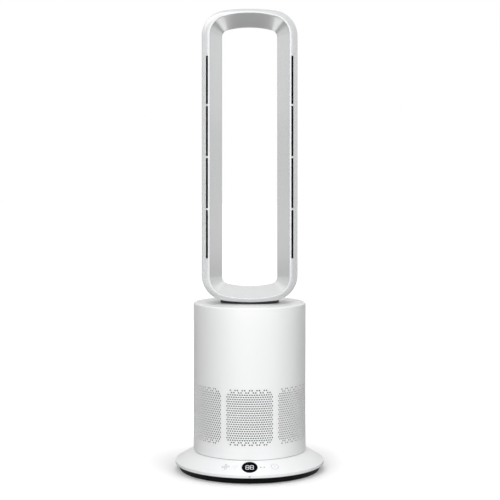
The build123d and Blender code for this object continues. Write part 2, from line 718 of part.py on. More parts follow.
def pinion_shaft():
    """The oscillation motor's output shaft."""
    return upright(STEPPER_SHAFT_R, WELL_LOW - STEPPER_BORE + TURN_GAP, TABLE_LOW - SLIP_GAP, 0, PINION_Y)


def ring_gear():
    """The gear ring with inner teeth that the pinion turns."""
    pitch = GEAR_MODULE * RING_TEETH / 2
    spaces = gear_face(
        RING_TEETH,
        pitch + RING_DEDENDUM * GEAR_MODULE,
        pitch - ADDENDUM * GEAR_MODULE,
        GEAR_BACKLASH,
        [],
    )
    ring = Circle(pitch + RING_DEDENDUM * GEAR_MODULE + GEAR_RIM) - spaces
    return Pos(0, 0, GEAR_LOW) * extrude(ring, GEAR_HEIGHT)


def turntable():
    """The disc that carries the tower: hub tube, upstand for the drum, stiffening ribs and board posts."""
    hub_low = KEEPER_HIGH
    hub_in = HUB_R - HUB_WALL
    table = turned(
        [
            (hub_in, hub_low),
            (HUB_R, hub_low),
            (HUB_R, TABLE_LOW),
            (TABLE_R, TABLE_LOW),
            (TABLE_R, LEDGE_LOW),
            (TABLE_R - LEDGE_WIDTH, LEDGE_LOW),
            (TABLE_R - LEDGE_WIDTH, TABLE_HIGH),
            (HUB_R + HUB_COLLAR, TABLE_HIGH),
            (HUB_R, TABLE_HIGH + HUB_RISE),
            (hub_in, TABLE_HIGH + HUB_RISE),
        ]
    )
    rib_length = TABLE_R - LEDGE_WIDTH - HUB_R
    rib = block(rib_length, RIB_THICK, TABLE_HIGH, LEDGE_LOW - RIB_THICK / 2, HUB_R + rib_length / 2)
    table += around(rib, TABLE_RIBS)
    for x, y in board_posts(DRIVER_BOARD, (0, 0)):
        table += tube(POST_R, SCREW_R / 2, TABLE_HIGH, DRIVER_BOARD_LOW, x, y)
    keeper_hole = upright(SCREW_R, hub_low - OVER, hub_low + KEEPER_GRIP + OVER, HUB_R - HUB_WALL / 2)
    table -= around(keeper_hole, KEEPER_SCREWS)
    casing_hole = upright(SCREW_R, TABLE_LOW - OVER, LEDGE_LOW + OVER, TABLE_R - LEDGE_WIDTH / 2)
    table -= around(casing_hole, LEG_COUNT, CASING_TURN)
    return table


def keeper_plate():
    """The steel plate under the collar that keeps the turntable from lifting out."""
    plate = tube(KEEPER_R, HUB_R / 2, KEEPER_LOW, KEEPER_HIGH)
    hole = upright(SCREW_R, KEEPER_LOW - OVER, KEEPER_HIGH + OVER, HUB_R - HUB_WALL / 2)
    return plate - around(hole, KEEPER_SCREWS)


def keeper_screws():
    """Three screws that hold the keeper plate to the hub."""
    at = HUB_R - HUB_WALL / 2
    screw = upright(SMALL_HEAD_R, KEEPER_LOW - SMALL_HEAD, KEEPER_LOW, at)
    screw += upright(SCREW_R - RUN_GAP, KEEPER_LOW, KEEPER_HIGH + KEEPER_GRIP, at)
    return Compound(children=around(screw, KEEPER_SCREWS))


def casing_screws():
    """Screws up through the turntable's upstand into the drum's ledge."""
    at = TABLE_R - LEDGE_WIDTH / 2
    screw = upright(SCREW_R - RUN_GAP, TABLE_LOW + TURN_GAP, LEDGE_HIGH - TURN_GAP, at)
    return Compound(children=around(screw, LEG_COUNT, CASING_TURN))


# ================================================================ drum
def panel_angles():
    """The middle angle of each perforated panel, in degrees from the front."""
    front = [PANEL_PITCH * (n - PANEL_COUNT // 2) for n in range(PANEL_COUNT)]
    return [*front, 180.0]


def panel_holes():
    """(arc offset, height) of each hole of one panel: staggered rows with cut corners."""
    across = int(PANEL_WIDTH / HOLE_PITCH)
    spots = []
    for row in range(HOLE_ROWS):
        end_row = row in (0, HOLE_ROWS - 1)
        count = across - row % 2 - (2 if end_row else 0)
        height = DRUM_LOW + HOLES_LOW + row * HOLE_ROW
        for n in range(count):
            spots.append(((n - (count - 1) / 2) * HOLE_PITCH, height))
    return spots


def drum_casing():
    """The tall shell: rolled upper rim, inner ledge and six panels of staggered air holes."""
    rim_in = DRUM_R - RIM_WIDTH
    shell = turned(
        [
            (DRUM_R, DRUM_LOW),
            (DRUM_R, DRUM_HIGH),
            (rim_in, DRUM_HIGH),
            (rim_in, DISC_LOW),
            (DRUM_IN_R, DISC_LOW),
            (DRUM_IN_R, LEDGE_HIGH),
            (DRUM_IN_R - LEDGE_WIDTH, LEDGE_HIGH),
            (DRUM_IN_R - LEDGE_WIDTH, LEDGE_LOW),
            (DRUM_IN_R, LEDGE_LOW),
            (DRUM_IN_R, DRUM_LOW),
        ]
    )
    top_edge = shell.edges().filter_by(GeomType.CIRCLE).group_by(Axis.Z)[-1].sort_by(SortBy.RADIUS)[-1]
    shell = fillet(top_edge, DRUM_EDGE_R)
    cutter = extrude(RegularPolygon(HOLE_R, 4), 3 * DRUM_WALL, both=True)
    holes = []
    for panel in panel_angles():
        for along, height in panel_holes():
            turn = panel + degrees(along / DRUM_R)
            holes.append(Rot(Z=turn) * Pos(0, -DRUM_R, height) * Rot(X=90) * cutter)
    shell -= holes
    pilot = upright(SCREW_R, 0, LEDGE_HIGH + OVER, TABLE_R - LEDGE_WIDTH / 2)
    return shell - around(pilot, LEG_COUNT, CASING_TURN)


def dust_screen():
    """A thin screen on the ledge, behind the air holes."""
    outer = DRUM_IN_R - TURN_GAP
    return tube(outer, outer - SCREEN_THICK, LEDGE_HIGH, FAN_DECK_LOW)


def top_cover():
    """The disc that closes the drum, held under the rolled rim, with an oval opening for the neck."""
    disc = turned(
        [
            (0, FLANGE_LOW),
            (DRUM_IN_R - TURN_GAP, FLANGE_LOW),
            (DRUM_IN_R - TURN_GAP, DISC_LOW),
            (DRUM_R - RIM_WIDTH - SLIP_GAP, DISC_LOW),
            (DRUM_R - RIM_WIDTH - SLIP_GAP, DRUM_HIGH),
            (0, DRUM_HIGH),
        ]
    )
    disc -= oval(NECK_HALF_X + SLIP_GAP, NECK_HALF_Y + SLIP_GAP, FLANGE_LOW - OVER, DRUM_HIGH + OVER)
    for x, y in neck_screw_places():
        disc -= upright(SCREW_R, FLANGE_LOW - OVER, DRUM_HIGH + OVER, x, y)
    return disc


# ================================================================ fan unit
def fan_deck():
    """The ring that carries the fan on four hollow legs with flared feet."""
    deck = tube(DRUM_IN_R - TURN_GAP, DECK_HOLE_R, FAN_DECK_LOW, FAN_DECK_HIGH)
    leg = upright(LEG_R, TABLE_HIGH, FAN_DECK_LOW + DECK_THICK / 2, LEG_CIRCLE_R)
    leg += upright(LEG_R + LEG_FLARE, TABLE_HIGH, TABLE_HIGH + LEG_FLARE_HIGH, LEG_CIRCLE_R)
    leg -= upright(LEG_R - LEG_WALL, TABLE_HIGH - OVER, FAN_DECK_LOW - LEG_ROOF, LEG_CIRCLE_R)
    return deck + around(leg, LEG_COUNT, LEG_TURN)


def inlet_bellmouth():
    """The flared inlet that leads air from the holes into the impeller."""
    flange_r = SHROUD_OUT_R + SHROUD_FLANGE
    outer = [(THROAT_R + BELL_WALL, BELL_HIGH), (THROAT_R + BELL_WALL, SHROUD_LOW)]
    outer += [(flange_r, SHROUD_LOW), (flange_r, FAN_DECK_HIGH), (DECK_HOLE_R - OVER, FAN_DECK_HIGH)]
    mouth = []
    depth = BELL_HIGH - FAN_DECK_LOW + BELL_DROP
    for n in range(BELL_STEPS + 1):
        turn = radians(90 * n / BELL_STEPS)
        radius = MOUTH_R - (MOUTH_R - THROAT_R) * sin(turn)
        mouth.append((radius, FAN_DECK_LOW - BELL_DROP + depth * (1 - cos(turn))))
    lip = [(MOUTH_R + BELL_WALL, FAN_DECK_LOW - BELL_DROP)]
    return turned(outer + lip + mouth)


def shroud_radius(height):
    """The shroud's inner radius, which widens smoothly along the impeller."""
    share = (height - IMPELLER_LOW) / (IMPELLER_HIGH - IMPELLER_LOW)
    share = min(1.0, max(0.0, share))
    return SHROUD_IN_R + (SHROUD_OUT_R - SHROUD_IN_R) * share * share * (3 - 2 * share)


def impeller_levels():
    """The heights at which the blades and the shroud are drawn."""
    return [IMPELLER_LOW + BLADE_HEIGHT * n / (BLADE_LEVELS - 1) for n in range(BLADE_LEVELS)]


def fan_shroud():
    """The casing round the impeller: bottom flange, widening throat and top flange."""
    inner = [(SHROUD_IN_R, SHROUD_LOW)]
    inner += [(shroud_radius(z), z) for z in impeller_levels()]
    inner += [(SHROUD_OUT_R, SHROUD_HIGH)]
    flange = SHROUD_OUT_R + SHROUD_FLANGE
    under = SHROUD_HIGH - SHROUD_FLANGE_THICK
    above = SHROUD_LOW + SHROUD_FLANGE_THICK
    outer = [(flange, SHROUD_HIGH), (flange, under), (SHROUD_OUT_R + SHROUD_WALL, under)]
    outer += [(shroud_radius(z) + SHROUD_WALL, z) for z in reversed(impeller_levels())]
    outer += [(SHROUD_IN_R + SHROUD_WALL, above), (flange, above), (flange, SHROUD_LOW)]
    return turned(inner + outer)


def hub_radius(height):
    """The impeller hub's outer radius."""
    share = (height - IMPELLER_LOW) / BLADE_HEIGHT
    return IMPELLER_HUB_LOW_R + (IMPELLER_HUB_HIGH_R - IMPELLER_HUB_LOW_R) * sin(share * pi / 2)


def impeller():
    """A mixed-flow wheel: a hollow swelling hub with twisted blades that follow the shroud."""
    levels = impeller_levels()
    floor = levels[0] + IMPELLER_FLOOR
    outer = [(hub_radius(z), z) for z in levels]
    inner = [(hub_radius(z) - IMPELLER_WALL, z) for z in reversed(levels[1:])]
    inner.append((hub_radius(levels[1]) - IMPELLER_WALL - IMPELLER_BEVEL, floor))
    hub = turned([(0, levels[0]), *outer, *inner, (0, floor)])
    hub += upright(IMPELLER_BOSS_R, levels[0], floor + IMPELLER_BOSS)
    blade_levels = []
    for n, z in enumerate(levels):
        angle = BLADE_TWIST * n / (BLADE_LEVELS - 1)
        blade_levels.append((z, hub_radius(z) - IMPELLER_ROOT, shroud_radius(z) - TIP_GAP, angle))
    blade = twisted_vane(blade_levels, BLADE_THICK)
    wheel = hub + around(blade, BLADE_COUNT)
    return wheel - upright(MOTOR_SHAFT_R, levels[0] - OVER, floor + IMPELLER_BOSS + OVER)


def motor_shaft():
    """The fan motor's steel shaft, through both bearings into the impeller."""
    return upright(MOTOR_SHAFT_R, IMPELLER_LOW - SHAFT_BELOW, CUP_HIGH - SHAFT_UNDER)


def impeller_nut():
    """The hexagon nut that holds the impeller on its shaft."""
    nut = Pos(0, 0, IMPELLER_LOW - NUT_HEIGHT) * extrude(RegularPolygon(NUT_R, 6), NUT_HEIGHT)
    return nut - upright(MOTOR_SHAFT_R, 0, IMPELLER_LOW + OVER)


def stator_vanes():
    """The ring of fixed vanes that straightens the air and carries the motor."""
    ring_r = SHROUD_OUT_R - SLIP_GAP
    hub_r = CUP_R + SLIP_GAP
    ring_in = ring_r - VANE_RING
    flange_r = ring_r + VANE_FLANGE
    flange_top = VANES_HIGH + VANE_FLANGE_THICK
    outline = [(ring_in, VANES_LOW), (ring_r, VANES_LOW), (ring_r, VANES_HIGH)]
    outline += [(flange_r, VANES_HIGH), (flange_r, flange_top), (ring_in, flange_top)]
    vanes = turned(outline) + tube(hub_r + VANE_RING, hub_r, VANES_LOW, VANES_HIGH)
    levels = []
    for n in range(VANE_LEVELS):
        share = n / (VANE_LEVELS - 1)
        height = VANES_LOW + VANE_HEIGHT * share
        angle = VANE_TWIST * (1 - share) ** 2
        levels.append((height, hub_r + VANE_RING / 2, ring_r - VANE_RING / 2, angle))
    vane = twisted_vane(levels, VANE_THICK)
    return vanes + around(vane, VANE_COUNT)


def motor_cup():
    """The cup that holds the motor, with the bearing tube on its floor and a flange on the vane ring."""
    floor = CUP_LOW + CUP_WALL
    flange_r = CUP_R + CUP_FLANGE
    flange_top = VANES_HIGH + VANE_FLANGE_THICK
    tube_r = BEARING_R + BEARING_TUBE_WALL
    outside = [(0, CUP_LOW), (CUP_R, CUP_LOW), (CUP_R, VANES_HIGH)]
    flange = [(flange_r, VANES_HIGH), (flange_r, flange_top), (CUP_R, flange_top)]
    inside = [(CUP_R, CUP_HIGH), (CUP_R - CUP_WALL, CUP_HIGH), (CUP_R - CUP_WALL, floor)]
    bearing_tube = [(tube_r, floor), (tube_r, BEARING_TUBE_TOP), (0, BEARING_TUBE_TOP)]
    cup = turned(outside + flange + inside + bearing_tube)
    return cup - upright(BEARING_R, CUP_LOW - OVER, CUP_HIGH)


def dome_outline(radius, rise):
    """Points of a quarter oval from the rim up to the middle of a dome that stands on the motor cup."""
    turns = [radians(90 * n / CAP_STEPS) for n in range(CAP_STEPS)]
    rim_to_crown = [(radius * cos(turn), CUP_HIGH + rise * sin(turn)) for turn in turns]
    return [*rim_to_crown, (0.0, CUP_HIGH + rise)]


def motor_cap():
    """The domed lid that closes the motor cup."""
    outside = dome_outline(CUP_R, CAP_RISE)
    inside = dome_outline(CUP_R - CUP_WALL, CAP_RISE - CUP_WALL)
    return turned(outside + inside[::-1])


def motor_bearings():
    """Two ball bearings in the bearing tube."""
    outer = BEARING_R - RUN_GAP
    inner = MOTOR_SHAFT_R + RUN_GAP
    low = tube(outer, inner, CUP_LOW, CUP_LOW + BEARING_HEIGHT)
    high = tube(outer, inner, BEARING_TUBE_TOP - BEARING_HEIGHT, BEARING_TUBE_TOP)
    return Compound(children=[low, high])


def motor_stator():
    """The wound core round the bearing tube: toothed laminations, and a coil sleeve on each tooth."""
    low = CUP_LOW + CUP_WALL + STATOR_UP
    high = low + STATOR_HEIGHT
    inner = BEARING_R + BEARING_TUBE_WALL
    core_r = inner + CORE_WALL
    shoe_in = STATOR_R - SHOE_THICK
    tooth_length = shoe_in + SHOE_THICK / 2 - inner - CORE_WALL / 2
    tooth = Pos(inner + CORE_WALL / 2 + tooth_length / 2, 0) * Rectangle(tooth_length, TOOTH_WIDTH)
    shoe = (Circle(STATOR_R) - Circle(shoe_in)) & (Pos(STATOR_R, 0) * Rectangle(STATOR_R, SHOE_WIDTH))
    face = (Circle(core_r) - Circle(inner)) + around(tooth + shoe, STATOR_TEETH)
    core = Pos(0, 0, low + COIL_WALL) * extrude(face, STATOR_HEIGHT - 2 * COIL_WALL)
    coil_low = core_r + SLIP_GAP
    coil_length = shoe_in - 2 * SLIP_GAP - coil_low
    middle = coil_low + coil_length / 2
    coil = block(coil_length, TOOTH_WIDTH + COIL_WALL, low, high, middle)
    coil -= block(2 * coil_length, TOOTH_WIDTH, low + COIL_WALL, high - COIL_WALL, middle)
    return Compound(children=[core, *around(coil, STATOR_TEETH)])


def magnet_rotor():
    """The bell with magnets that turns round the wound core."""
    low = CUP_LOW + CUP_WALL + BELL_UP
    top = CUP_LOW + CUP_WALL + STATOR_HEIGHT + BELL_ABOVE
    hub_low = top - BELL_ROOF
    inside = ROTOR_R - ROTOR_WALL
    outline = [(inside, low), (ROTOR_R, low), (ROTOR_R, top), (0, top), (0, hub_low), (inside, hub_low)]
    bell = turned(outline) + tube(inside, inside - MAGNET_THICK, low + MAGNET_LOW, hub_low - MAGNET_HIGH)
    bell += upright(BELL_BOSS_R, top, top + BELL_BOSS)
    return bell - upright(MOTOR_SHAFT_R, 0, DRUM_HIGH)


def air_duct():
    """The duct that leads air from the round shroud to the oval neck, with a straight collar and a plate."""
    low = VANES_HIGH + VANE_FLANGE_THICK
    high = FLANGE_LOW
    shoulder = high - DUCT_COLLAR
    ring_r = SHROUD_OUT_R - SLIP_GAP + VANE_FLANGE
    inner_x = NECK_HALF_X - NECK_WALL
    inner_y = NECK_HALF_Y - NECK_WALL
    foot, head = Pos(0, 0, low), Pos(0, 0, shoulder)
    outer = loft([foot * Circle(ring_r), head * Ellipse(NECK_HALF_X, NECK_HALF_Y)])
    inner = loft([foot * Circle(ring_r - DUCT_WALL), head * Ellipse(inner_x, inner_y)])
    outer += oval(NECK_HALF_X, NECK_HALF_Y, shoulder, high)
    plate = oval(NECK_HALF_X + DUCT_PLATE_OUT, NECK_HALF_Y + DUCT_PLATE_OUT, high - DUCT_PLATE, high)
    for x, y in neck_screw_places():
        plate -= upright(SCREW_R, high - DUCT_PLATE - OVER, high + OVER, x, y)
    return outer + plate - inner - oval(inner_x, inner_y, shoulder, high + OVER)


def driver_board():
    """The fan motor's board, with a hole for the lead, its connector, heat sink and capacitors."""
    top = DRIVER_BOARD_LOW + BOARD_THICK
    board = circuit_board(DRIVER_BOARD, (0, 0), DRIVER_BOARD_LOW)
    board -= upright(2 * LEAD_R, 0, top + OVER)
    board += block(CONNECTOR[0], CONNECTOR[1], top, top + SOCKET_HEIGHT, SOCKET_AT, 0)
    for n in range(BIG_CAPACITOR_COUNT):
        x = BIG_CAPACITOR_AT[0] + BIG_CAPACITOR_PITCH * n
        board += upright(BIG_CAPACITOR_R, top, top + BIG_CAPACITOR_HEIGHT, x, BIG_CAPACITOR_AT[1])
    sink = block(*SINK, top, top + SINK_FLOOR, *SINK_AT)
    for n in range(FIN_COUNT):
        y = SINK_AT[1] + FIN_PITCH * (n - (FIN_COUNT - 1) / 2)
        sink += block(SINK[0], FIN_THICK, top + SINK_FLOOR, top + SINK_HEIGHT, SINK_AT[0], y)
    return board + sink


def tower_lead():
    """The turning half of the inner lead, up through the hub to the driver board."""
    top = DRIVER_BOARD_LOW + BOARD_THICK + LEAD_BEND_R
    end = SOCKET_AT - CONNECTOR[0] / 2
    path = FilletPolyline((0, 0, LEAD_SPLIT), (0, 0, top), (end, 0, top), radius=LEAD_BEND_R)
    return sweep((path ^ 0) * Circle(LEAD_R), path=path)


# ================================================================ neck and loop
def neck_screw_places():
    """Where the loop's flange is screwed to the top cover: four places beside the oval neck."""
    across = (cos(NECK_SCREW_TURN) / NECK_HALF_X, sin(NECK_SCREW_TURN) / NECK_HALF_Y)
    length = sqrt(across[0] ** 2 + across[1] ** 2)
    reach_x = NECK_HALF_X * cos(NECK_SCREW_TURN) + NECK_SCREW_OUT * across[0] / length
    reach_y = NECK_HALF_Y * sin(NECK_SCREW_TURN) + NECK_SCREW_OUT * across[1] / length
    return [(sx * reach_x, sy * reach_y) for sx in (-1, 1) for sy in (-1, 1)]


def loop_ring(y, half_width, end_inset, corner, arch):
    """A flat face in the plane Y = y: straight sides, round corners and gently arched ends."""
    rise = LOOP_HEIGHT / 2 - end_inset
    reach = sqrt((arch - corner) ** 2 - (half_width - corner) ** 2)
    corner_z = rise - arch + reach
    turn = atan2(reach, half_width - corner)
    edges = []
    for up in (1, -1):
        for side in (1, -1):
            middle = (side * (half_width - corner), corner_z)
            start = (side * half_width, corner_z)
            on = (middle[0] + side * corner * cos(turn / 2), corner_z + corner * sin(turn / 2))
            end = (middle[0] + side * corner * cos(turn), corner_z + corner * sin(turn))
            points = [(x, y, LOOP_MID + up * z) for x, z in (start, on, end)]
            edges.append(ThreePointArc(*points))
        left = (-half_width + corner - corner * cos(turn), corner_z + corner * sin(turn))
        points = [(left[0], left[1]), (0, rise), (-left[0], left[1])]
        edges.append(ThreePointArc(*[(x, y, LOOP_MID + up * z) for x, z in points]))
    for side in (1, -1):
        x = side * half_width
        edges.append(Line((x, y, LOOP_MID - corner_z), (x, y, LOOP_MID + corner_z)))
    return Face(Wire(edges))


def loop_opening(grow):
    """The tapered space through the loop, grown by a wall, and run a little past both faces."""
    sections = []
    for y, share in ((LOOP_FRONT - OVER, -OVER / LOOP_DEPTH), (LOOP_BACK + OVER, 1 + OVER / LOOP_DEPTH)):
        side = FRONT_SIDE + (BACK_SIDE - FRONT_SIDE) * share
        end = FRONT_END + (BACK_END - FRONT_END) * share
        corner = FRONT_CORNER_R + (BACK_CORNER_R - FRONT_CORNER_R) * share
        arch = FRONT_ARCH_R + (BACK_ARCH_R - FRONT_ARCH_R) * share
        half = LOOP_HALF_WIDTH - side
        sections.append(loop_ring(y, half + grow, end - grow, corner + grow, arch + grow))
    return loft(sections, ruled=True)


def rear_opening(grow, over=0.0):
    """The opening's outline in the loop's rear face, grown by a lip, as a plate as thick as that face."""
    half = LOOP_HALF_WIDTH - BACK_SIDE
    start = LOOP_BACK - LOOP_WALL
    outline = loop_ring(start, half + grow, BACK_END - grow, BACK_CORNER_R + grow, BACK_ARCH_R + grow)
    return extrude(outline, LOOP_WALL + over, dir=(0, 1, 0))


def loop_body(inset):
    """The loop's outside as a full solid with a rounded back edge, drawn in by inset."""
    outline = loop_ring(
        LOOP_FRONT,
        LOOP_HALF_WIDTH - inset,
        inset,
        LOOP_CORNER_R - inset,
        LOOP_ARCH_R - inset,
    )
    body = extrude(outline, LOOP_DEPTH - inset, dir=(0, 1, 0))
    return fillet(body.edges().group_by(Axis.Y)[-1], LOOP_BACK_R - inset)


def loop_outer_shell():
    """The loop's outer and rear wall, with the oval neck that plugs into the drum and its flange."""
    shell = loop_body(0) - loop_body(LOOP_WALL)
    shell -= Pos(0, LOOP_FRONT, LOOP_MID) * Box(4 * LOOP_HALF_WIDTH, 2 * BAND_THICK, 2 * LOOP_HEIGHT)
    neck = oval(NECK_HALF_X, NECK_HALF_Y, FLANGE_LOW, NECK_TOP)
    flange = oval(NECK_HALF_X + FLANGE_OUT, NECK_HALF_Y + FLANGE_OUT, DRUM_HIGH, DRUM_HIGH + FLANGE_THICK)
    for x, y in neck_screw_places():
        flange -= upright(SCREW_R, DRUM_HIGH - OVER, DRUM_HIGH + FLANGE_THICK + OVER, x, y)
    shell += (neck + flange) - loop_body(LOOP_WALL)
    bore_top = NECK_TOP + 2 * LOOP_WALL
    shell -= oval(NECK_HALF_X - NECK_WALL, NECK_HALF_Y - NECK_WALL, FLANGE_LOW - OVER, bore_top)
    shell -= rear_opening(REAR_LIP + LENS_GAP, OVER)
    return shell - loop_opening(LOOP_INNER_WALL + LENS_GAP)


def loop_inner_wall():
    """The tapered wall round the loop's opening, with a lip that closes the rear face."""
    depth = LOOP_DEPTH - BAND_THICK
    middle = LOOP_FRONT + BAND_THICK + depth / 2
    behind_band = Pos(0, middle, LOOP_MID) * Box(2 * LOOP_HALF_WIDTH, depth, LOOP_HEIGHT)
    wall = loop_opening(LOOP_INNER_WALL) & behind_band
    return wall + rear_opening(REAR_LIP) - loop_opening(0)


def slot_spans():
    """The lower and upper end of each air slot: one long row, parted by narrow bridges."""
    middle = LOOP_MID - SLOT_DROP
    bridges = [middle + BRIDGE_PITCH * (n - (BRIDGE_COUNT - 1) / 2) for n in range(BRIDGE_COUNT)]
    lows = [middle - SLOT_RUN / 2] + [z + SLOT_BRIDGE / 2 for z in bridges]
    highs = [z - SLOT_BRIDGE / 2 for z in bridges] + [middle + SLOT_RUN / 2]
    return list(zip(lows, highs))


def front_band():
    """The front ring, whose outer part falls back to a rounded edge, with the air slots."""
    band = loop_ring(LOOP_FRONT, LOOP_HALF_WIDTH, 0, LOOP_CORNER_R, LOOP_ARCH_R)
    band = extrude(band, BAND_THICK, dir=(0, 1, 0))
    face = band.faces().sort_by(Axis.Y)[0]
    band = chamfer(face.edges(), BAND_CROWN_WIDTH, BAND_CROWN, reference=face)
    band = fillet(band.edges().group_by(Axis.Y)[2], BAND_EDGE_R)
    band -= loop_opening(0)
    for side in (-1, 1):
        x = side * (LOOP_HALF_WIDTH - SLOT_INSET)
        for low, high in slot_spans():
            band -= block(SLOT_WIDTH, 4 * BAND_THICK, low, high, x, LOOP_FRONT)
    return band


def outlet_nozzles():
    """Two black strips behind the band, whose channels narrow towards the slots."""
    pieces = []
    spans = slot_spans()
    low = spans[0][0] - NOZZLE_END
    high = spans[-1][1] + NOZZLE_END
    start = LOOP_FRONT + BAND_THICK
    for side in (-1, 1):
        x = side * (LOOP_HALF_WIDTH - SLOT_INSET)
        strip = block(SLOT_WIDTH + 2 * NOZZLE_WALL, NOZZLE_DEPTH, low, high, x, start + NOZZLE_DEPTH / 2)
        for slot_low, slot_high in spans:
            z = (slot_low + slot_high) / 2
            length = slot_high - slot_low
            mouth = Plane(origin=(x, start - OVER, z), x_dir=(1, 0, 0), z_dir=(0, 1, 0))
            back = Plane(origin=(x, start + NOZZLE_DEPTH + OVER, z), x_dir=(1, 0, 0), z_dir=(0, 1, 0))
            narrow = mouth * Rectangle(SLOT_WIDTH, length)
            wide = back * Rectangle(SLOT_WIDTH + NOZZLE_WALL, length - 2 * NOZZLE_DRAFT)
            strip -= loft([narrow, wide], ruled=True)
        pieces.append(strip)
    return Compound(children=pieces)


def neck_gasket():
    """The dark rubber ring that fills the gap between the drum's top and the arched loop."""
    inner_x = NECK_HALF_X + FLANGE_OUT + SLIP_GAP
    inner_y = NECK_HALF_Y + FLANGE_OUT + SLIP_GAP
    high = NECK_TOP
    ring = oval(inner_x + GASKET_WALL, inner_y + GASKET_WALL, DRUM_HIGH, high)
    ring -= oval(inner_x, inner_y, DRUM_HIGH - OVER, high + OVER)
    return ring - loop_body(0)


def neck_screws():
    """Screws from inside the drum, through the duct and top cover into the loop's flange."""
    low = FLANGE_LOW - DUCT_PLATE
    screws = []
    for x, y in neck_screw_places():
        screw = upright(SMALL_HEAD_R, low - SMALL_HEAD, low, x, y)
        screws.append(screw + upright(SCREW_R - RUN_GAP, low, DRUM_HIGH + FLANGE_THICK - THREAD_END, x, y))
    return Compound(children=screws)


PARTS = [
    rubber_feet,
    base_pan,
    base_screws,
    ballast_plate,
    base_cover,
    display_lens,
    receiver_window,
    display_module,
    touch_strip,
    main_board,
    power_inlet,
    stepper_motor,
    glide_ring,
    base_lead,
    drive_pinion,
    pinion_shaft,
    ring_gear,
    turntable,
    keeper_plate,
    keeper_screws,
    casing_screws,
    drum_casing,
    dust_screen,
    top_cover,
    fan_deck,
    inlet_bellmouth,
    fan_shroud,
    impeller,
    motor_shaft,
    impeller_nut,
    stator_vanes,
    motor_cup,
    motor_cap,
    motor_bearings,
    motor_stator,
    magnet_rotor,
    air_duct,
    driver_board,
    tower_lead,
    loop_outer_shell,
    loop_inner_wall,
    front_band,
    outlet_nozzles,
    neck_gasket,
    neck_screws,
]


def main():
    """Build every sub-part and write it under its own name."""
    os.makedirs("parts", exist_ok=True)
    for build in PARTS:
        export_step(build(), f"parts/{build.__name__}.step")


if __name__ == "__main__":
    main()
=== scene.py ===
"""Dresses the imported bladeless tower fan: air holes, smooth shells, a lit display and its finishes.

Metres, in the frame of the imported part: +Z is up, the front faces -Y, the origin is the centre of the base.
"""

import logging
from dataclasses import dataclass
from enum import Enum
from math import atan2, cos, hypot, pi, radians, sin, sqrt

import bmesh
import bpy
from mathutils import Matrix, Vector

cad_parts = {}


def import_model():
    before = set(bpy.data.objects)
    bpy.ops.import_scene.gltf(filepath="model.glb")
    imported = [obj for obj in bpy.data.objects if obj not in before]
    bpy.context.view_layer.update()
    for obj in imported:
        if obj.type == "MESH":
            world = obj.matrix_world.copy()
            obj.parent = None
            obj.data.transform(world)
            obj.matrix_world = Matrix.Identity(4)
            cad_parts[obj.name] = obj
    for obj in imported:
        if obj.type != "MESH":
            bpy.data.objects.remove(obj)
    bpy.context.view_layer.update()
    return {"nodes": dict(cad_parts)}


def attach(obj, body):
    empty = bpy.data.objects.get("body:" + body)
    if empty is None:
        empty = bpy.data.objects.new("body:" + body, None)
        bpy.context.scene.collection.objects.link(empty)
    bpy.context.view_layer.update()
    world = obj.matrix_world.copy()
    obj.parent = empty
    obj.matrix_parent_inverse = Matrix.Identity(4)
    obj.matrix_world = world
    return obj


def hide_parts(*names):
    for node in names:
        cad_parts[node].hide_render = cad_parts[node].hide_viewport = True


LOG = logging.getLogger("bladeless_fan")
MM = 0.001
SMOOTH_BELOW = 32.0  # edges that bend by more than this many degrees stay crisp
WELD = 1e-7  # corners nearer than this are one
Point = tuple[float, float, float]
Colour = tuple[float, float, float]
Flat = tuple[float, float]
RELIEF_HEIGHT = 0.2 * MM
THREAD_EDGE = (0.1, 0.4)  # a thread's height where its mask begins and where it is full


class Body(Enum):
    """The bodies that a piece can ride on."""

    BASE = "base"
    TOWER = "tower"


class Panel(Enum):
    """How full a row of a perforated panel is: which columns at its cut corners stay open."""

    END = 8.0
    SECOND = 8.5
    THIRD = 9.0
    FULL = 9.5


# Of every three columns, the one without a hole. A row that isn't named here has a hole in each.
CLOSED_COLUMN = {Panel.END: 2, Panel.SECOND: 1}


class Icon(Enum):
    """The marks printed beside the display."""

    AIR = "air"
    SWING = "swing"
    DOTS = "dots"
    TIMER = "timer"


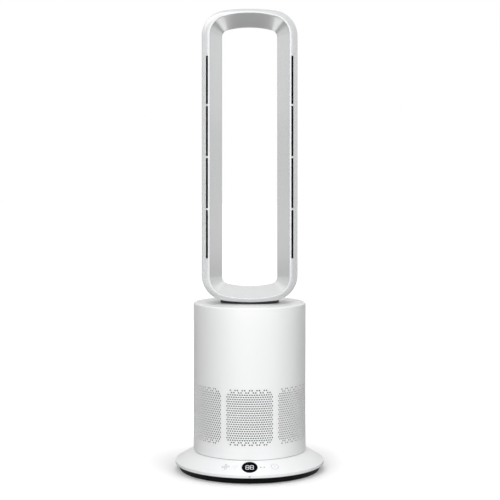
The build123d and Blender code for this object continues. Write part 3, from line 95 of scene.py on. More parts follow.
# ---------------------------------------------------------------- mesh tools
class Draft:
    """Collects corners and faces, and turns them into a smooth-shaded mesh object."""

    def __init__(self) -> None:
        """Starts empty."""
        self.corners: list[Point] = []
        self.faces: list[tuple[int, ...]] = []

    def add(self, points: list[Point]) -> list[int]:
        """Adds corners.

        Args:
            points: The corners' places.

        Returns:
            Their numbers.
        """
        first = len(self.corners)
        self.corners.extend(points)
        return list(range(first, len(self.corners)))

    def strip(self, one: list[int], two: list[int], closed: bool = True) -> None:
        """Joins two rows of corners with quads.

        Args:
            one: The first row.
            two: The second row, as long as the first.
            closed: Whether the rows are rings.
        """
        count = len(one)
        for n in range(count if closed else count - 1):
            m = (n + 1) % count
            self.faces.append((one[n], one[m], two[m], two[n]))

    def cap(self, row: list[int]) -> None:
        """Closes a ring with one face."""
        self.faces.append(tuple(row))

    def loft(self, rings: list[list[Point]], loop: bool = False) -> list[list[int]]:
        """Joins rings of equal length in order.

        Args:
            rings: The rings' corners.
            loop: Whether the last ring joins the first.

        Returns:
            The corner numbers of each ring.
        """
        rows = [self.add(ring) for ring in rings]
        for n in range(len(rows) - 1):
            self.strip(rows[n], rows[n + 1])
        if loop:
            self.strip(rows[-1], rows[0])
        return rows

    def object(self, name: str) -> bpy.types.Object:
        """Makes the object, faced outwards and shaded.

        Args:
            name: The piece's name.

        Returns:
            The object, linked to the scene.
        """
        mesh = bpy.data.meshes.new(name)
        mesh.from_pydata(self.corners, [], self.faces)
        shape = bmesh.new()
        shape.from_mesh(mesh)
        bmesh.ops.remove_doubles(shape, verts=shape.verts, dist=WELD)
        bmesh.ops.recalc_face_normals(shape, faces=shape.faces)
        shape.to_mesh(mesh)
        shape.free()
        shade(mesh)
        made = bpy.data.objects.new(name, mesh)
        bpy.context.scene.collection.objects.link(made)
        return made


def shade(mesh: bpy.types.Mesh) -> None:
    """Shades a mesh smooth, apart from its crisp edges."""
    mesh.shade_smooth()
    mesh.set_sharp_from_angle(angle=radians(SMOOTH_BELOW))


def turns(count: int) -> list[float]:
    """Even angles round a full circle."""
    return [2 * pi * n / count for n in range(count)]


def oval(half_x: float, half_y: float, height: float, count: int) -> list[Point]:
    """A level oval of corners, from the front anticlockwise as seen from above."""
    return [(half_x * sin(t), -half_y * cos(t), height) for t in turns(count)]


def ring(radius: float, height: float, count: int) -> list[Point]:
    """A level circle of corners."""
    return oval(radius, radius, height, count)


def arc(middle: Flat, radius: float, start: float, end: float, steps: int) -> list[Flat]:
    """Points of a flat arc from one angle in degrees to another, both ends among them."""
    angles = [radians(start + (end - start) * n / steps) for n in range(steps + 1)]
    return [(middle[0] + radius * cos(a), middle[1] + radius * sin(a)) for a in angles]


def revolved(name: str, profile: list[Flat], count: int) -> bpy.types.Object:
    """Turns a closed profile of (radius, height) round the tower's axis.

    Args:
        name: The piece's name.
        profile: The profile's corners, without any on the axis.
        count: How many steps round.

    Returns:
        The object.
    """
    draft = Draft()
    draft.loft([ring(r, z, count) for r, z in profile], loop=True)
    return draft.object(name)


def cut(target: bpy.types.Object, cutters: list[bpy.types.Object]) -> None:
    """Cuts shapes out of a piece and deletes the cutters.

    Args:
        target: The piece to cut.
        cutters: The shapes to take away.
    """
    for cutter in cutters:
        step = target.modifiers.new("cut", "BOOLEAN")
        step.object = cutter
        step.solver = "EXACT"
    bpy.context.view_layer.update()
    graph = bpy.context.evaluated_depsgraph_get()
    mesh = bpy.data.meshes.new_from_object(target.evaluated_get(graph))
    target.modifiers.clear()
    target.data = mesh
    shade(mesh)
    for cutter in cutters:
        bpy.data.objects.remove(cutter, do_unlink=True)


def rod(name: str, radius: float, place: Matrix, low: float, high: float, count: int) -> bpy.types.Object:
    """A round bar along the Z of a place.

    Args:
        name: Its name.
        radius: Its radius.
        place: Where its axis stands.
        low: Where it starts along the axis.
        high: Where it ends.
        count: How many sides.

    Returns:
        The bar.
    """
    draft = Draft()
    rings = [[place @ Vector(p) for p in ring(radius, z, count)] for z in (low, high)]
    rows = draft.loft(rings)
    draft.cap(rows[0])
    draft.cap(rows[1])
    return draft.object(name)


def block(name: str, low: Point, high: Point) -> bpy.types.Object:
    """A box to cut with.

    Args:
        name: Its name.
        low: Its lowest corner.
        high: Its highest corner.

    Returns:
        The box.
    """
    draft = Draft()
    foot = [(low[0], low[1]), (high[0], low[1]), (high[0], high[1]), (low[0], high[1])]
    rows = draft.loft([[(x, y, z) for x, y in foot] for z in (low[2], high[2])])
    draft.cap(rows[0])
    draft.cap(rows[1])
    return draft.object(name)


def settle(piece: bpy.types.Object, body: Body, finish: "Finish", *nodes: str) -> None:
    """Dresses a piece, lets it ride on its body, and hides the nodes that it stands for.

    Args:
        piece: The piece.
        body: The body that it moves with.
        finish: Its finish.
        nodes: The nodes that it replaces.
    """
    piece.data.materials.clear()
    piece.data.materials.append(finish.material())
    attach(piece, body.value)
    if nodes:
        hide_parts(*nodes)
    LOG.info("%s: %d faces, rides on %s", piece.name, len(piece.data.polygons), body.value)


# ---------------------------------------------------------------- shared effects
def group_shell(name: str, inputs: dict[str, tuple], outputs: dict[str, str]) -> bpy.types.ShaderNodeTree:
    """Makes an empty node group with its sockets.

    Args:
        name: The group's name.
        inputs: Socket names with (type, first value).
        outputs: Socket names with their type.

    Returns:
        The group.
    """
    tree = bpy.data.node_groups.new(name, "ShaderNodeTree")
    for label, (kind, value) in inputs.items():
        socket = tree.interface.new_socket(label, in_out="INPUT", socket_type=kind)
        socket.default_value = value
    for label, kind in outputs.items():
        tree.interface.new_socket(label, in_out="OUTPUT", socket_type=kind)
    tree.nodes.new("NodeGroupInput").name = "in"
    tree.nodes.new("NodeGroupOutput").name = "out"
    return tree


def wire(
    tree: bpy.types.ShaderNodeTree, kind: str, links: dict[str | int, object], **settings: object
) -> bpy.types.ShaderNode:
    """Adds a node and connects or sets its inputs.

    Args:
        tree: The node tree.
        kind: The node's type.
        links: Input names or numbers with an output socket or a plain value.
        settings: The node's own options.

    Returns:
        The node.
    """
    node = tree.nodes.new(kind)
    for key, value in settings.items():
        setattr(node, key, value)
    for key, value in links.items():
        if isinstance(value, bpy.types.NodeSocket):
            tree.links.new(value, node.inputs[key])
        else:
            node.inputs[key].default_value = value
    return node


def calc(tree: bpy.types.ShaderNodeTree, operation: str, *values: object) -> bpy.types.NodeSocket:
    """Adds a sum, product or the like of sockets or plain values, and gives the result's socket."""
    return wire(tree, "ShaderNodeMath", dict(enumerate(values)), operation=operation).outputs[0]


def mixed(tree: bpy.types.ShaderNodeTree, factor: object, one: object, two: object) -> bpy.types.NodeSocket:
    """Adds a mix of two colours, each plain or a socket, and gives the result's socket."""
    values = {"Factor": factor, "A": one, "B": two}
    return wire(tree, "ShaderNodeMix", values, data_type="RGBA").outputs["Result"]


def moulded_group() -> bpy.types.ShaderNodeTree:
    """The slow drift of colour and polish, and the fine grain, of a moulded or plated surface.

    Returns:
        The node group, built once.
    """
    name = "moulded_surface"
    if name in bpy.data.node_groups:
        return bpy.data.node_groups[name]
    tree = group_shell(
        name,
        {
            "Tint": ("NodeSocketColor", (0.8, 0.8, 0.8, 1)),
            "Shade": ("NodeSocketColor", (0.7, 0.7, 0.7, 1)),
            "Polish": ("NodeSocketFloat", 0.3),
            "Spread": ("NodeSocketFloat", 0.05),
            "Grain Size": ("NodeSocketFloat", 0.4),
            "Drift Size": ("NodeSocketFloat", 60.0),
        },
        {"Color": "NodeSocketColor", "Roughness": "NodeSocketFloat", "Height": "NodeSocketFloat"},
    )
    start, end = tree.nodes["in"], tree.nodes["out"]
    place = wire(tree, "ShaderNodeTexCoord", {}).outputs["Object"]
    enlarged = {0: place, "Scale": 1000.0}
    millimetres = wire(tree, "ShaderNodeVectorMath", enlarged, operation="SCALE").outputs[0]
    drift_scale = calc(tree, "DIVIDE", 1.0, start.outputs["Drift Size"])
    grain_scale = calc(tree, "DIVIDE", 1.0, start.outputs["Grain Size"])
    slow = {"Vector": millimetres, "Scale": drift_scale, "Detail": 3.0}
    fine = {"Vector": millimetres, "Scale": grain_scale, "Detail": 2.0}
    drift, grain = (wire(tree, "ShaderNodeTexNoise", values).outputs["Fac"] for values in (slow, fine))
    both = calc(tree, "ADD", drift, grain)
    half = calc(tree, "MULTIPLY", both, 0.5)
    colour = mixed(tree, half, start.outputs["Tint"], start.outputs["Shade"])
    off = calc(tree, "ADD", half, -0.5)
    swing = calc(tree, "MULTIPLY", off, start.outputs["Spread"])
    polish = calc(tree, "ADD", swing, start.outputs["Polish"])
    tree.links.new(colour, end.inputs["Color"])
    tree.links.new(polish, end.inputs["Roughness"])
    tree.links.new(grain, end.inputs["Height"])
    return tree


def weave_group() -> bpy.types.ShaderNodeTree:
    """Crossing threads: a mask that is 1 on a thread, and their height.

    Returns:
        The node group, built once.
    """
    name = "crossing_threads"
    if name in bpy.data.node_groups:
        return bpy.data.node_groups[name]
    tree = group_shell(
        name,
        {"Pitch": ("NodeSocketFloat", 0.8), "Radius": ("NodeSocketFloat", 110.0)},
        {"Mask": "NodeSocketFloat", "Height": "NodeSocketFloat"},
    )
    start, end = tree.nodes["in"], tree.nodes["out"]
    place = wire(tree, "ShaderNodeTexCoord", {}).outputs["Object"]
    parts = wire(tree, "ShaderNodeSeparateXYZ", {0: place}).outputs
    turn = calc(tree, "ARCTAN2", parts[0], parts[1])
    along = calc(tree, "MULTIPLY", turn, start.outputs["Radius"])
    up = calc(tree, "MULTIPLY", parts[2], 1000.0)
    waves = []
    for way in (along, up):
        steps = calc(tree, "DIVIDE", way, start.outputs["Pitch"])
        angle = calc(tree, "MULTIPLY", steps, 2 * pi)
        waves.append(calc(tree, "SINE", angle))
    height = calc(tree, "MAXIMUM", waves[0], waves[1])
    span = {"Value": height, "From Min": THREAD_EDGE[0], "From Max": THREAD_EDGE[1]}
    mask = wire(tree, "ShaderNodeMapRange", span).outputs["Result"]
    tree.links.new(mask, end.inputs["Mask"])
    tree.links.new(height, end.inputs["Height"])
    return tree


# ---------------------------------------------------------------- finishes
@dataclass(frozen=True)
class Parts:
    """A material's nodes: the tree, the moulded surface, the shader, and what turns height into relief."""

    tree: bpy.types.ShaderNodeTree
    surface: bpy.types.ShaderNode
    shader: bpy.types.ShaderNode
    bump: bpy.types.ShaderNode


@dataclass(frozen=True)
class Finish:
    """A moulded, painted or plated finish with its own drift, grain and gloss."""

    name: str
    slot: str
    tint: Colour
    shade: Colour
    polish: float = 0.4
    spread: float = 0.08
    grain: float = 0.5
    relief: float = 0.05
    metal: float = 0.0
    coat: float = 0.0
    coat_polish: float = 0.05
    specular: float = 0.5
    drift: float = 60.0

    def material(self) -> bpy.types.Material:
        """The finish's material, built once.

        A material that has the finish's name already is taken as it is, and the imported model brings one
        for each slot. So the five finishes named as their slots aren't built: black_nozzle, dust_net,
        lead_jacket, zinc_plate and zinc_screw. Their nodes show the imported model's plain material.

        Returns:
            The material.
        """
        if self.name in bpy.data.materials:
            return bpy.data.materials[self.name]
        made = bpy.data.materials.new(self.name)
        made.use_nodes = True
        tree = made.node_tree
        shader = tree.nodes["Principled BSDF"]
        own = {
            "Tint": (*self.tint, 1),
            "Shade": (*self.shade, 1),
            "Polish": self.polish,
            "Spread": self.spread,
            "Grain Size": self.grain,
            "Drift Size": self.drift,
        }
        surface = tree.nodes.new("ShaderNodeGroup")
        surface.node_tree = moulded_group()
        for label, value in own.items():
            surface.inputs[label].default_value = value
        shader.inputs["Metallic"].default_value = self.metal
        shader.inputs["Coat Weight"].default_value = self.coat
        shader.inputs["Coat Roughness"].default_value = self.coat_polish
        shader.inputs["Specular IOR Level"].default_value = self.specular
        bump = wire(tree, "ShaderNodeBump", {"Strength": self.relief, "Distance": RELIEF_HEIGHT})
        tree.links.new(surface.outputs["Height"], bump.inputs["Height"])
        tree.links.new(bump.outputs["Normal"], shader.inputs["Normal"])
        tree.links.new(surface.outputs["Color"], shader.inputs["Base Color"])
        tree.links.new(surface.outputs["Roughness"], shader.inputs["Roughness"])
        self.enrich(Parts(tree, surface, shader, bump))
        return made

    def enrich(self, parts: Parts) -> None:
        """Adds what a particular finish has beyond the plain one."""


@dataclass(frozen=True)
class NetFinish(Finish):
    """A fine net whose meshes are open. Its one use, dust_net, isn't built, as Finish.material says."""

    pitch: float = 0.8
    radius: float = 110.0

    def enrich(self, parts: Parts) -> None:
        """Opens the net's meshes and raises its threads.

        Args:
            parts: The material's parts.
        """
        threads = wire(parts.tree, "ShaderNodeGroup", {}, node_tree=weave_group())
        threads.inputs["Pitch"].default_value = self.pitch
        threads.inputs["Radius"].default_value = self.radius
        parts.tree.links.new(threads.outputs["Mask"], parts.shader.inputs["Alpha"])
        parts.tree.links.new(threads.outputs["Height"], parts.bump.inputs["Height"])


@dataclass(frozen=True)
class BoardFinish(Finish):
    """A circuit board: green lacquer over faint copper tracks."""

    track: Colour = (0.06, 0.26, 0.13)
    pitch: float = 2.4
    lines: float = 3.0
    line_edge: Flat = (0.55, 0.65)

    def enrich(self, parts: Parts) -> None:
        """Draws the tracks.

        Args:
            parts: The material's parts.
        """
        place = wire(parts.tree, "ShaderNodeTexCoord", {}).outputs["Object"]
        values = {"Vector": place, "Scale": 1000.0 / (self.pitch * 3)}
        cells = wire(parts.tree, "ShaderNodeTexVoronoi", values, distance="MANHATTAN")
        lines = calc(parts.tree, "MULTIPLY", cells.outputs["Distance"], self.lines)
        waves = calc(parts.tree, "PINGPONG", lines, 1.0)
        span = {"Value": waves, "From Min": self.line_edge[0], "From Max": self.line_edge[1]}
        mask = wire(parts.tree, "ShaderNodeMapRange", span).outputs["Result"]
        colour = mixed(parts.tree, mask, parts.surface.outputs["Color"], (*self.track, 1))
        parts.tree.links.new(colour, parts.shader.inputs["Base Color"])


@dataclass(frozen=True)
class WireFinish(Finish):
    """Layers of enamelled wire wound round an upright tooth."""

    pitch: float = 0.7

    def enrich(self, parts: Parts) -> None:
        """Lays the turns of wire side by side.

        Args:
            parts: The material's parts.
        """
        place = wire(parts.tree, "ShaderNodeTexCoord", {}).outputs["Object"]
        level = {0: place, 1: (1.0, 1.0, 0.0)}
        away = wire(parts.tree, "ShaderNodeVectorMath", level, operation="MULTIPLY").outputs[0]
        reach = wire(parts.tree, "ShaderNodeVectorMath", {0: away}, operation="LENGTH").outputs["Value"]
        windings = calc(parts.tree, "MULTIPLY", reach, 2000 * pi / self.pitch)
        wave = calc(parts.tree, "SINE", windings)
        parts.tree.links.new(wave, parts.bump.inputs["Height"])


@dataclass(frozen=True)
class LitFinish(Finish):
    """A lit segment of the display."""

    glow: float = 1.0

    def enrich(self, parts: Parts) -> None:
        """Lights it."""
        parts.tree.links.new(parts.surface.outputs["Color"], parts.shader.inputs["Emission Color"])
        parts.shader.inputs["Emission Strength"].default_value = self.glow


WHITE = Finish(
    "white_moulding", "white_gloss", (0.92, 0.925, 0.93), (0.905, 0.91, 0.917),
    polish=0.45, spread=0.03, relief=0.01, coat=0.6, coat_polish=0.42, drift=90.0,
)
SILVER = Finish(
    "silver_paint", "silver_satin", (0.66, 0.665, 0.672), (0.64, 0.645, 0.652),
    polish=0.22, spread=0.03, grain=0.12, relief=0.02, metal=0.75,
)
PAN_BLACK = Finish(
    "black_pan", "black_base", (0.006, 0.006, 0.0065), (0.009, 0.009, 0.0095),
    polish=0.4, spread=0.1, specular=0.06,
)
LENS_BLACK = Finish(
    "smoked_window", "black_lens", (0.003, 0.003, 0.0035), (0.004, 0.004, 0.0045),
    polish=0.12, spread=0.02, relief=0.0, specular=0.03,
)
RECEIVER_GREY = Finish(
    "smoked_receiver", "black_lens", (0.66, 0.66, 0.67), (0.68, 0.68, 0.69),
    polish=0.2, relief=0.0,
)
NOZZLE_BLACK = Finish(
    "black_nozzle", "black_nozzle", (0.004, 0.004, 0.0045), (0.006, 0.006, 0.0065),
    polish=0.7, specular=0.1,
)
MODULE_DARK = Finish(
    "dark_moulding", "dark_module", (0.03, 0.03, 0.033), (0.045, 0.045, 0.05),
    polish=0.45,
)
RUBBER = Finish(
    "soft_rubber", "rubber", (0.03, 0.03, 0.032), (0.05, 0.05, 0.054),
    polish=0.75, relief=0.3, specular=0.3,
)
BOARD = BoardFinish(
    "board_lacquer", "circuit_board", (0.02, 0.14, 0.06), (0.025, 0.17, 0.075),
    polish=0.35,
)
ACETAL = Finish(
    "natural_acetal", "slippery_plastic", (0.80, 0.79, 0.74), (0.76, 0.75, 0.70),
    polish=0.4,
)
INNER_GREY = Finish(
    "inner_moulding", "inner_plastic", (0.20, 0.205, 0.215), (0.24, 0.245, 0.255),
    polish=0.5, relief=0.15,
)
IMPELLER_BLACK = Finish(
    "filled_black", "impeller_plastic", (0.06, 0.065, 0.072), (0.09, 0.095, 0.10),
    polish=0.42, grain=0.9, relief=0.2,
)
NET_DARK = NetFinish(
    "dust_net", "dust_net", (0.05, 0.052, 0.055), (0.07, 0.072, 0.076),
    polish=0.7, pitch=0.9,
)
LEAD_BLACK = Finish(
    "lead_jacket", "lead_jacket", (0.025, 0.025, 0.026), (0.035, 0.035, 0.037),
    polish=0.6,
)
PLAIN_STEEL = Finish(
    "rolled_steel", "plain_steel", (0.40, 0.40, 0.41), (0.47, 0.47, 0.48),
    polish=0.42, metal=1.0, spread=0.25,
)
ZINC = Finish(
    "zinc_plate", "zinc_plate", (0.62, 0.63, 0.64), (0.52, 0.53, 0.55),
    polish=0.33, metal=1.0, spread=0.3, drift=6.0,
)
ZINC_SCREW = Finish(
    "zinc_screw", "zinc_screw", (0.62, 0.62, 0.63), (0.50, 0.50, 0.51),
    polish=0.3, metal=1.0, drift=2.0,
)
SHAFT = Finish(
    "ground_shaft", "shaft_steel", (0.70, 0.70, 0.71), (0.66, 0.66, 0.67),
    polish=0.16, metal=1.0,
)
COPPER = WireFinish(
    "enamelled_wire", "copper_winding", (0.60, 0.27, 0.11), (0.50, 0.21, 0.08),
    polish=0.3, metal=0.9, relief=0.6,
)
MAGNET = Finish(
    "dark_plating", "magnet_iron", (0.11, 0.11, 0.12), (0.15, 0.15, 0.16),
    polish=0.4, metal=0.9,
)
PRINT_GREY = Finish(
    "printed_grey", "dark_module", (0.36, 0.37, 0.38), (0.38, 0.39, 0.40),
    polish=0.5, relief=0.0,
)
PRINT_FAINT = Finish(
    "printed_faint", "dark_module", (0.62, 0.625, 0.63), (0.64, 0.645, 0.65),
    polish=0.5, relief=0.0,
)
DIGIT_LIT = LitFinish(
    "lit_segment", "dark_module", (0.92, 0.95, 1.0), (0.88, 0.92, 1.0),
    polish=0.5, relief=0.0, glow=0.2,
)


# ---------------------------------------------------------------- base
@dataclass
class BaseAssembly:
    """The round base: cover with its swelling slope, display window, digits, printed marks and receiver."""

    radius: float = 150 * MM
    pan_high: float = 14 * MM
    band_high: float = 20 * MM
    band_lip: float = 1.5 * MM
    slope_high: float = 40 * MM
    bulge: float = 0.8 * MM
    wall: float = 2.6 * MM
    drum_radius: float = 113.5 * MM
    deck_high: float = 34.2 * MM
    well_radius: float = 80 * MM
    well_high: float = 30 * MM
    hub_radius: float = 22.05 * MM
    collar_low: float = 22 * MM
    edge_round: float = 0.7 * MM
    lens_radius: float = 15.6 * MM
    lens_gap: float = 0.15 * MM
    lens_share: float = 0.53
    lens_reach: float = 8 * MM
    lens_steps: int = 128
    lens_rings: int = 24
    lens_ease: float = 0.35 * MM
    receiver_radius: float = 2 * MM
    receiver_reach: float = 6 * MM
    receiver_steps: int = 48
    receiver_dome: float = 0.2 * MM
    receiver_shares: tuple[float, ...] = (1.0, 1.0, 0.85, 0.6, 0.3)
    collar_wall: float = 3 * MM
    steps: int = 384
    edge_steps: int = 4
    slope_steps: int = 40
    slope_steps_inside: int = 12
    slope_steps_fine: int = 64
    digit_size: Flat = (7.1 * MM, 11.7 * MM)
    digit_gap: float = 1.5 * MM
    segment: float = 0.95 * MM
    digit_drop: float = 1.0 * MM
    mark_drop: float = 1.6 * MM
    digit_joint: float = 0.22 * MM
    proud: float = 0.05 * MM
    digit_low: float = 0.005 * MM
    print_lifts: Flat = (0.01 * MM, 0.04 * MM)

    def slope_angle(self) -> float:
        """The slope's angle above the floor."""
        return atan2(self.slope_high - self.band_high, self.radius - self.band_lip - self.drum_radius)

    def slope_points(self, drop: float, steps: int) -> list[Flat]:
        """The slope's swelling line from the band up to the drum.

        Args:
            drop: How far it is moved down.
            steps: How many chords.

        Returns:
            Points of (radius, height).
        """
        low_r = self.radius - self.band_lip
        angle = self.slope_angle()
        points = []
        for n in range(steps + 1):
            share = n / steps
            swell = 4 * self.bulge * share * (1 - share)
            r = low_r + (self.drum_radius - low_r) * share + swell * sin(angle)
            z = self.band_high + (self.slope_high - self.band_high) * share + swell * cos(angle) - drop
            points.append((r, z))
        return points

    def slope_height(self, radius: float) -> float:
        """The slope's height at a distance from the axis, by its middle line and swell.

        Args:
            radius: The distance from the axis.

        Returns:
            The height above the floor.
        """
        points = self.slope_points(0, self.slope_steps_fine)
        for one, two in zip(points, points[1:]):
            if two[0] <= radius <= one[0]:
                share = (one[0] - radius) / (one[0] - two[0])
                return one[1] + (two[1] - one[1]) * share
        return points[0][1] if radius > points[0][0] else points[-1][1]

    def lens_place(self) -> Flat:
        """The lens centre's distance from the axis and its height.

        Returns:
            The distance and the height.
        """
        low_r = self.radius - self.band_lip
        at_r = low_r - self.lens_share * (low_r - self.drum_radius)
        return at_r, self.slope_height(at_r)

    def lens_frame(self) -> Matrix:
        """The lens's own frame: X across, Y up the slope, Z out of it.

        Returns:
            The frame's matrix.
        """
        at_r, at_z = self.lens_place()
        angle = self.slope_angle()
        across = Vector((1, 0, 0))
        out = Vector((0, -sin(angle), cos(angle)))
        up = out.cross(across)
        turned = Matrix((across, up, out)).transposed().to_4x4()
        return Matrix.Translation((0, -at_r, at_z)) @ turned

    def on_slope(self, x: float, y: float, proud: float) -> Point:
        """A point of the lens's frame laid onto the slope's surface.

        Args:
            x: Sideways, along the slope's circle.
            y: Up the slope.
            proud: How far it stands out.

        Returns:
            The point.
        """
        at_r, _ = self.lens_place()
        angle = self.slope_angle()
        r = at_r - y * cos(angle)
        turn = x / at_r
        r_out, z_out = r + proud * sin(angle), self.slope_height(r) + proud * cos(angle)
        return (r_out * sin(turn), -r_out * cos(turn), z_out)

    def cover(self) -> bpy.types.Object:
        """The white cover with the lens's and the receiver's holes.

        Returns:
            The piece.
        """
        low_r = self.radius - self.band_lip
        drop = self.wall / cos(self.slope_angle())
        recess = self.drum_radius - self.wall
        inside = self.radius - self.wall
        edge, count = self.edge_round, self.edge_steps
        rounding = arc((self.radius - edge, self.pan_high + edge), edge, -90, 0, count)
        lip = arc((self.radius - edge, self.band_high - edge), edge, 0, 70, count)
        rim = arc((self.drum_radius - edge, self.slope_high - edge), edge, 60, 90, count // 2)
        profile = [*rounding, *lip, *self.slope_points(0, self.slope_steps)[1:-1], *rim]
        profile += [(recess, self.slope_high), (recess, self.deck_high), (self.well_radius, self.deck_high)]
        profile += [(self.well_radius, self.well_high), (self.hub_radius, self.well_high)]
        collar = self.hub_radius + self.collar_wall
        profile += [(self.hub_radius, self.collar_low), (collar, self.collar_low)]
        profile += [(collar, self.well_high - self.wall)]
        profile += [(self.well_radius + self.wall, self.well_high - self.wall)]
        profile += [(self.well_radius + self.wall, self.deck_high - self.wall)]
        profile += [(self.drum_radius, self.deck_high - self.wall)]
        profile += list(reversed(self.slope_points(drop, self.slope_steps_inside)[:-1]))
        profile += [(inside, self.band_high - drop), (inside, self.pan_high)]
        cover = revolved("base_cover_shell", profile, self.steps)
        reach = self.lens_reach
        lens = rod("lens_cutter", self.lens_radius, self.lens_frame(), -reach, reach, self.lens_steps)
        cut(cover, [lens, self.receiver_cutter()])
        return cover

    def receiver_cutter(self) -> bpy.types.Object:
        """A bar through the band where the receiver looks out.

        Returns:
            The bar.
        """
        height = (self.pan_high + self.band_high) / 2
        place = Matrix.Translation((0, -self.radius, height)) @ Matrix.Rotation(pi / 2, 4, "X")
        reach = self.receiver_reach
        return rod("receiver_bar", self.receiver_radius, place, -reach, reach, self.receiver_steps)

    def lens(self) -> bpy.types.Object:
        """The dark round window, flush with the slope, with a slightly eased edge.

        Returns:
            The piece.
        """
        draft = Draft()
        outer = self.lens_radius - self.lens_gap
        ease, count = self.lens_ease, self.lens_rings
        levels = [(outer * n / count, 0.0) for n in range(1, count)]
        levels += [(outer - ease * 0.4, -ease * 0.15), (outer, -ease), (outer, -self.wall)]
        top = draft.add([self.on_slope(0, 0, 0)])
        around = turns(self.lens_steps)
        rings = [[self.on_slope(r * cos(t), r * sin(t), out) for t in around] for r, out in levels]
        rows = draft.loft(rings)
        for n in range(self.lens_steps):
            draft.faces.append((top[0], rows[0][n], rows[0][(n + 1) % self.lens_steps]))
        draft.cap(rows[-1])
        return draft.object("display_window")

    def receiver(self) -> bpy.types.Object:
        """The receiver's small round window, slightly domed.

        Returns:
            The piece.
        """
        draft = Draft()
        height = (self.pan_high + self.band_high) / 2
        outer = self.receiver_radius - self.lens_gap
        rings = []
        around = turns(self.receiver_steps)
        for share in self.receiver_shares:
            radius = outer * share
            dome = self.receiver_dome * (1 - share * share)
            out = -self.radius - dome if rings else -self.radius + self.wall
            rings.append([(radius * cos(t), out, height + radius * sin(t)) for t in around])
        rows = draft.loft(rings)
        draft.cap(rows[0])
        draft.cap(rows[-1])
        return draft.object("receiver_dome")

    def digit(self, draft: Draft, middle: float) -> None:
        """Adds the seven segments of an 8.

        Args:
            draft: Where they are added.
            middle: The digit's sideways place.
        """
        wide, tall = self.digit_size
        half_w, half_t, thick = wide / 2, tall / 2, self.segment / 2
        gap = self.digit_joint
        for level in (-1, 0, 1):
            y = level * (half_t - thick) - self.digit_drop
            reach = half_w - thick - gap
            outline = [(-reach, 0), (-reach + thick, thick), (reach - thick, thick), (reach, 0)]
            outline += [(reach - thick, -thick), (-reach + thick, -thick)]
            self.segment_plate(draft, [(middle + x, y + v) for x, v in outline])
        for side in (-1, 1):
            for up in (-1, 1):
                x = middle + side * (half_w - thick)
                low, high = gap, half_t - thick - gap
                outline = [(0, low), (thick, low + thick), (thick, high - thick), (0, high)]
                outline += [(-thick, high - thick), (-thick, low + thick)]
                self.segment_plate(draft, [(x + u, up * v - self.digit_drop) for u, v in outline])

    def segment_plate(self, draft: Draft, outline: list[Flat]) -> None:
        """A thin raised plate on the window.

        Args:
            draft: Where it is added.
            outline: Its corners in the lens's frame.
        """
        low = draft.add([self.on_slope(x, y, self.digit_low) for x, y in outline])
        high = draft.add([self.on_slope(x, y, self.proud) for x, y in outline])
        draft.strip(low, high)
        draft.cap(high)
        draft.cap(low)

    def digits(self) -> bpy.types.Object:
        """The two lit digits.

        Returns:
            The piece.
        """
        draft = Draft()
        step = (self.digit_size[0] + self.digit_gap) / 2
        for side in (-1, 1):
            self.digit(draft, side * step)
        return draft.object("display_digits")

    def stroke(self, draft: Draft, points: list[Flat], thick: float, closed: bool = False) -> None:
        """A printed line of even width on the slope.

        Args:
            draft: Where it is added.
            points: The line's points in the lens's frame.
            thick: Its width.
            closed: Whether it comes back to its start.
        """
        count = len(points)
        left, right = [], []
        for n in range(count):
            before = points[(n - 1) % count] if closed or n else points[0]
            after = points[(n + 1) % count] if closed or n < count - 1 else points[-1]
            dx, dy = after[0] - before[0], after[1] - before[1]
            size = hypot(dx, dy)
            nx, ny = -dy / size * thick / 2, dx / size * thick / 2
            left.append((points[n][0] + nx, points[n][1] + ny))
            right.append((points[n][0] - nx, points[n][1] - ny))
        rows = [
            draft.add([self.on_slope(x, y, lift) for x, y in side])
            for side in (left, right)
            for lift in self.print_lifts
        ]
        low_left, high_left, low_right, high_right = rows
        draft.strip(high_left, high_right, closed)
        draft.strip(low_left, high_left, closed)
        draft.strip(high_right, low_right, closed)
        draft.strip(low_right, low_left, closed)
        if not closed:
            for end in (0, -1):
                draft.faces.append((low_left[end], high_left[end], high_right[end], low_right[end]))

    def icon(self, kind: Icon, middle: float, size: float, thick: float) -> Draft:
        """Draws one generic mark.

        Args:
            kind: Which mark.
            middle: Its sideways place.
            size: Its half height.
            thick: The line's width.

        Returns:
            Its corners and faces.
        """
        draft = Draft()

        def put(points: list[Flat], closed: bool = False) -> None:
            """Adds a line given in half heights from the mark's middle."""
            placed = [(middle + size * x, size * y - self.mark_drop) for x, y in points]
            self.stroke(draft, placed, thick, closed)

        if kind is Icon.AIR:
            petal = [(0.12, 0), (0.45, 0.4), (0.85, 0.38), (1.0, 0.05), (0.6, -0.1)]
            for turn in (0, pi / 2, pi, 3 * pi / 2):
                c, s = cos(turn), sin(turn)
                put([(x * c - y * s, x * s + y * c) for x, y in petal], closed=True)
        elif kind is Icon.SWING:
            put([(x, 0.9 * y - 0.2) for x, y in arc((0, 0), 1, 20, 160, 10)])
            put([(0, -1), (0, 0.1)])
        elif kind is Icon.DOTS:
            for side in (-1, 1):
                put(arc((side, 0), thick / 2 / size, 0, 345, 23), closed=True)
        else:
            put(arc((0, 0), 1, 0, 350, 35), closed=True)
            put([(-0.1, 0.5), (-0.1, -0.1), (0.2, -0.1)])
        return draft

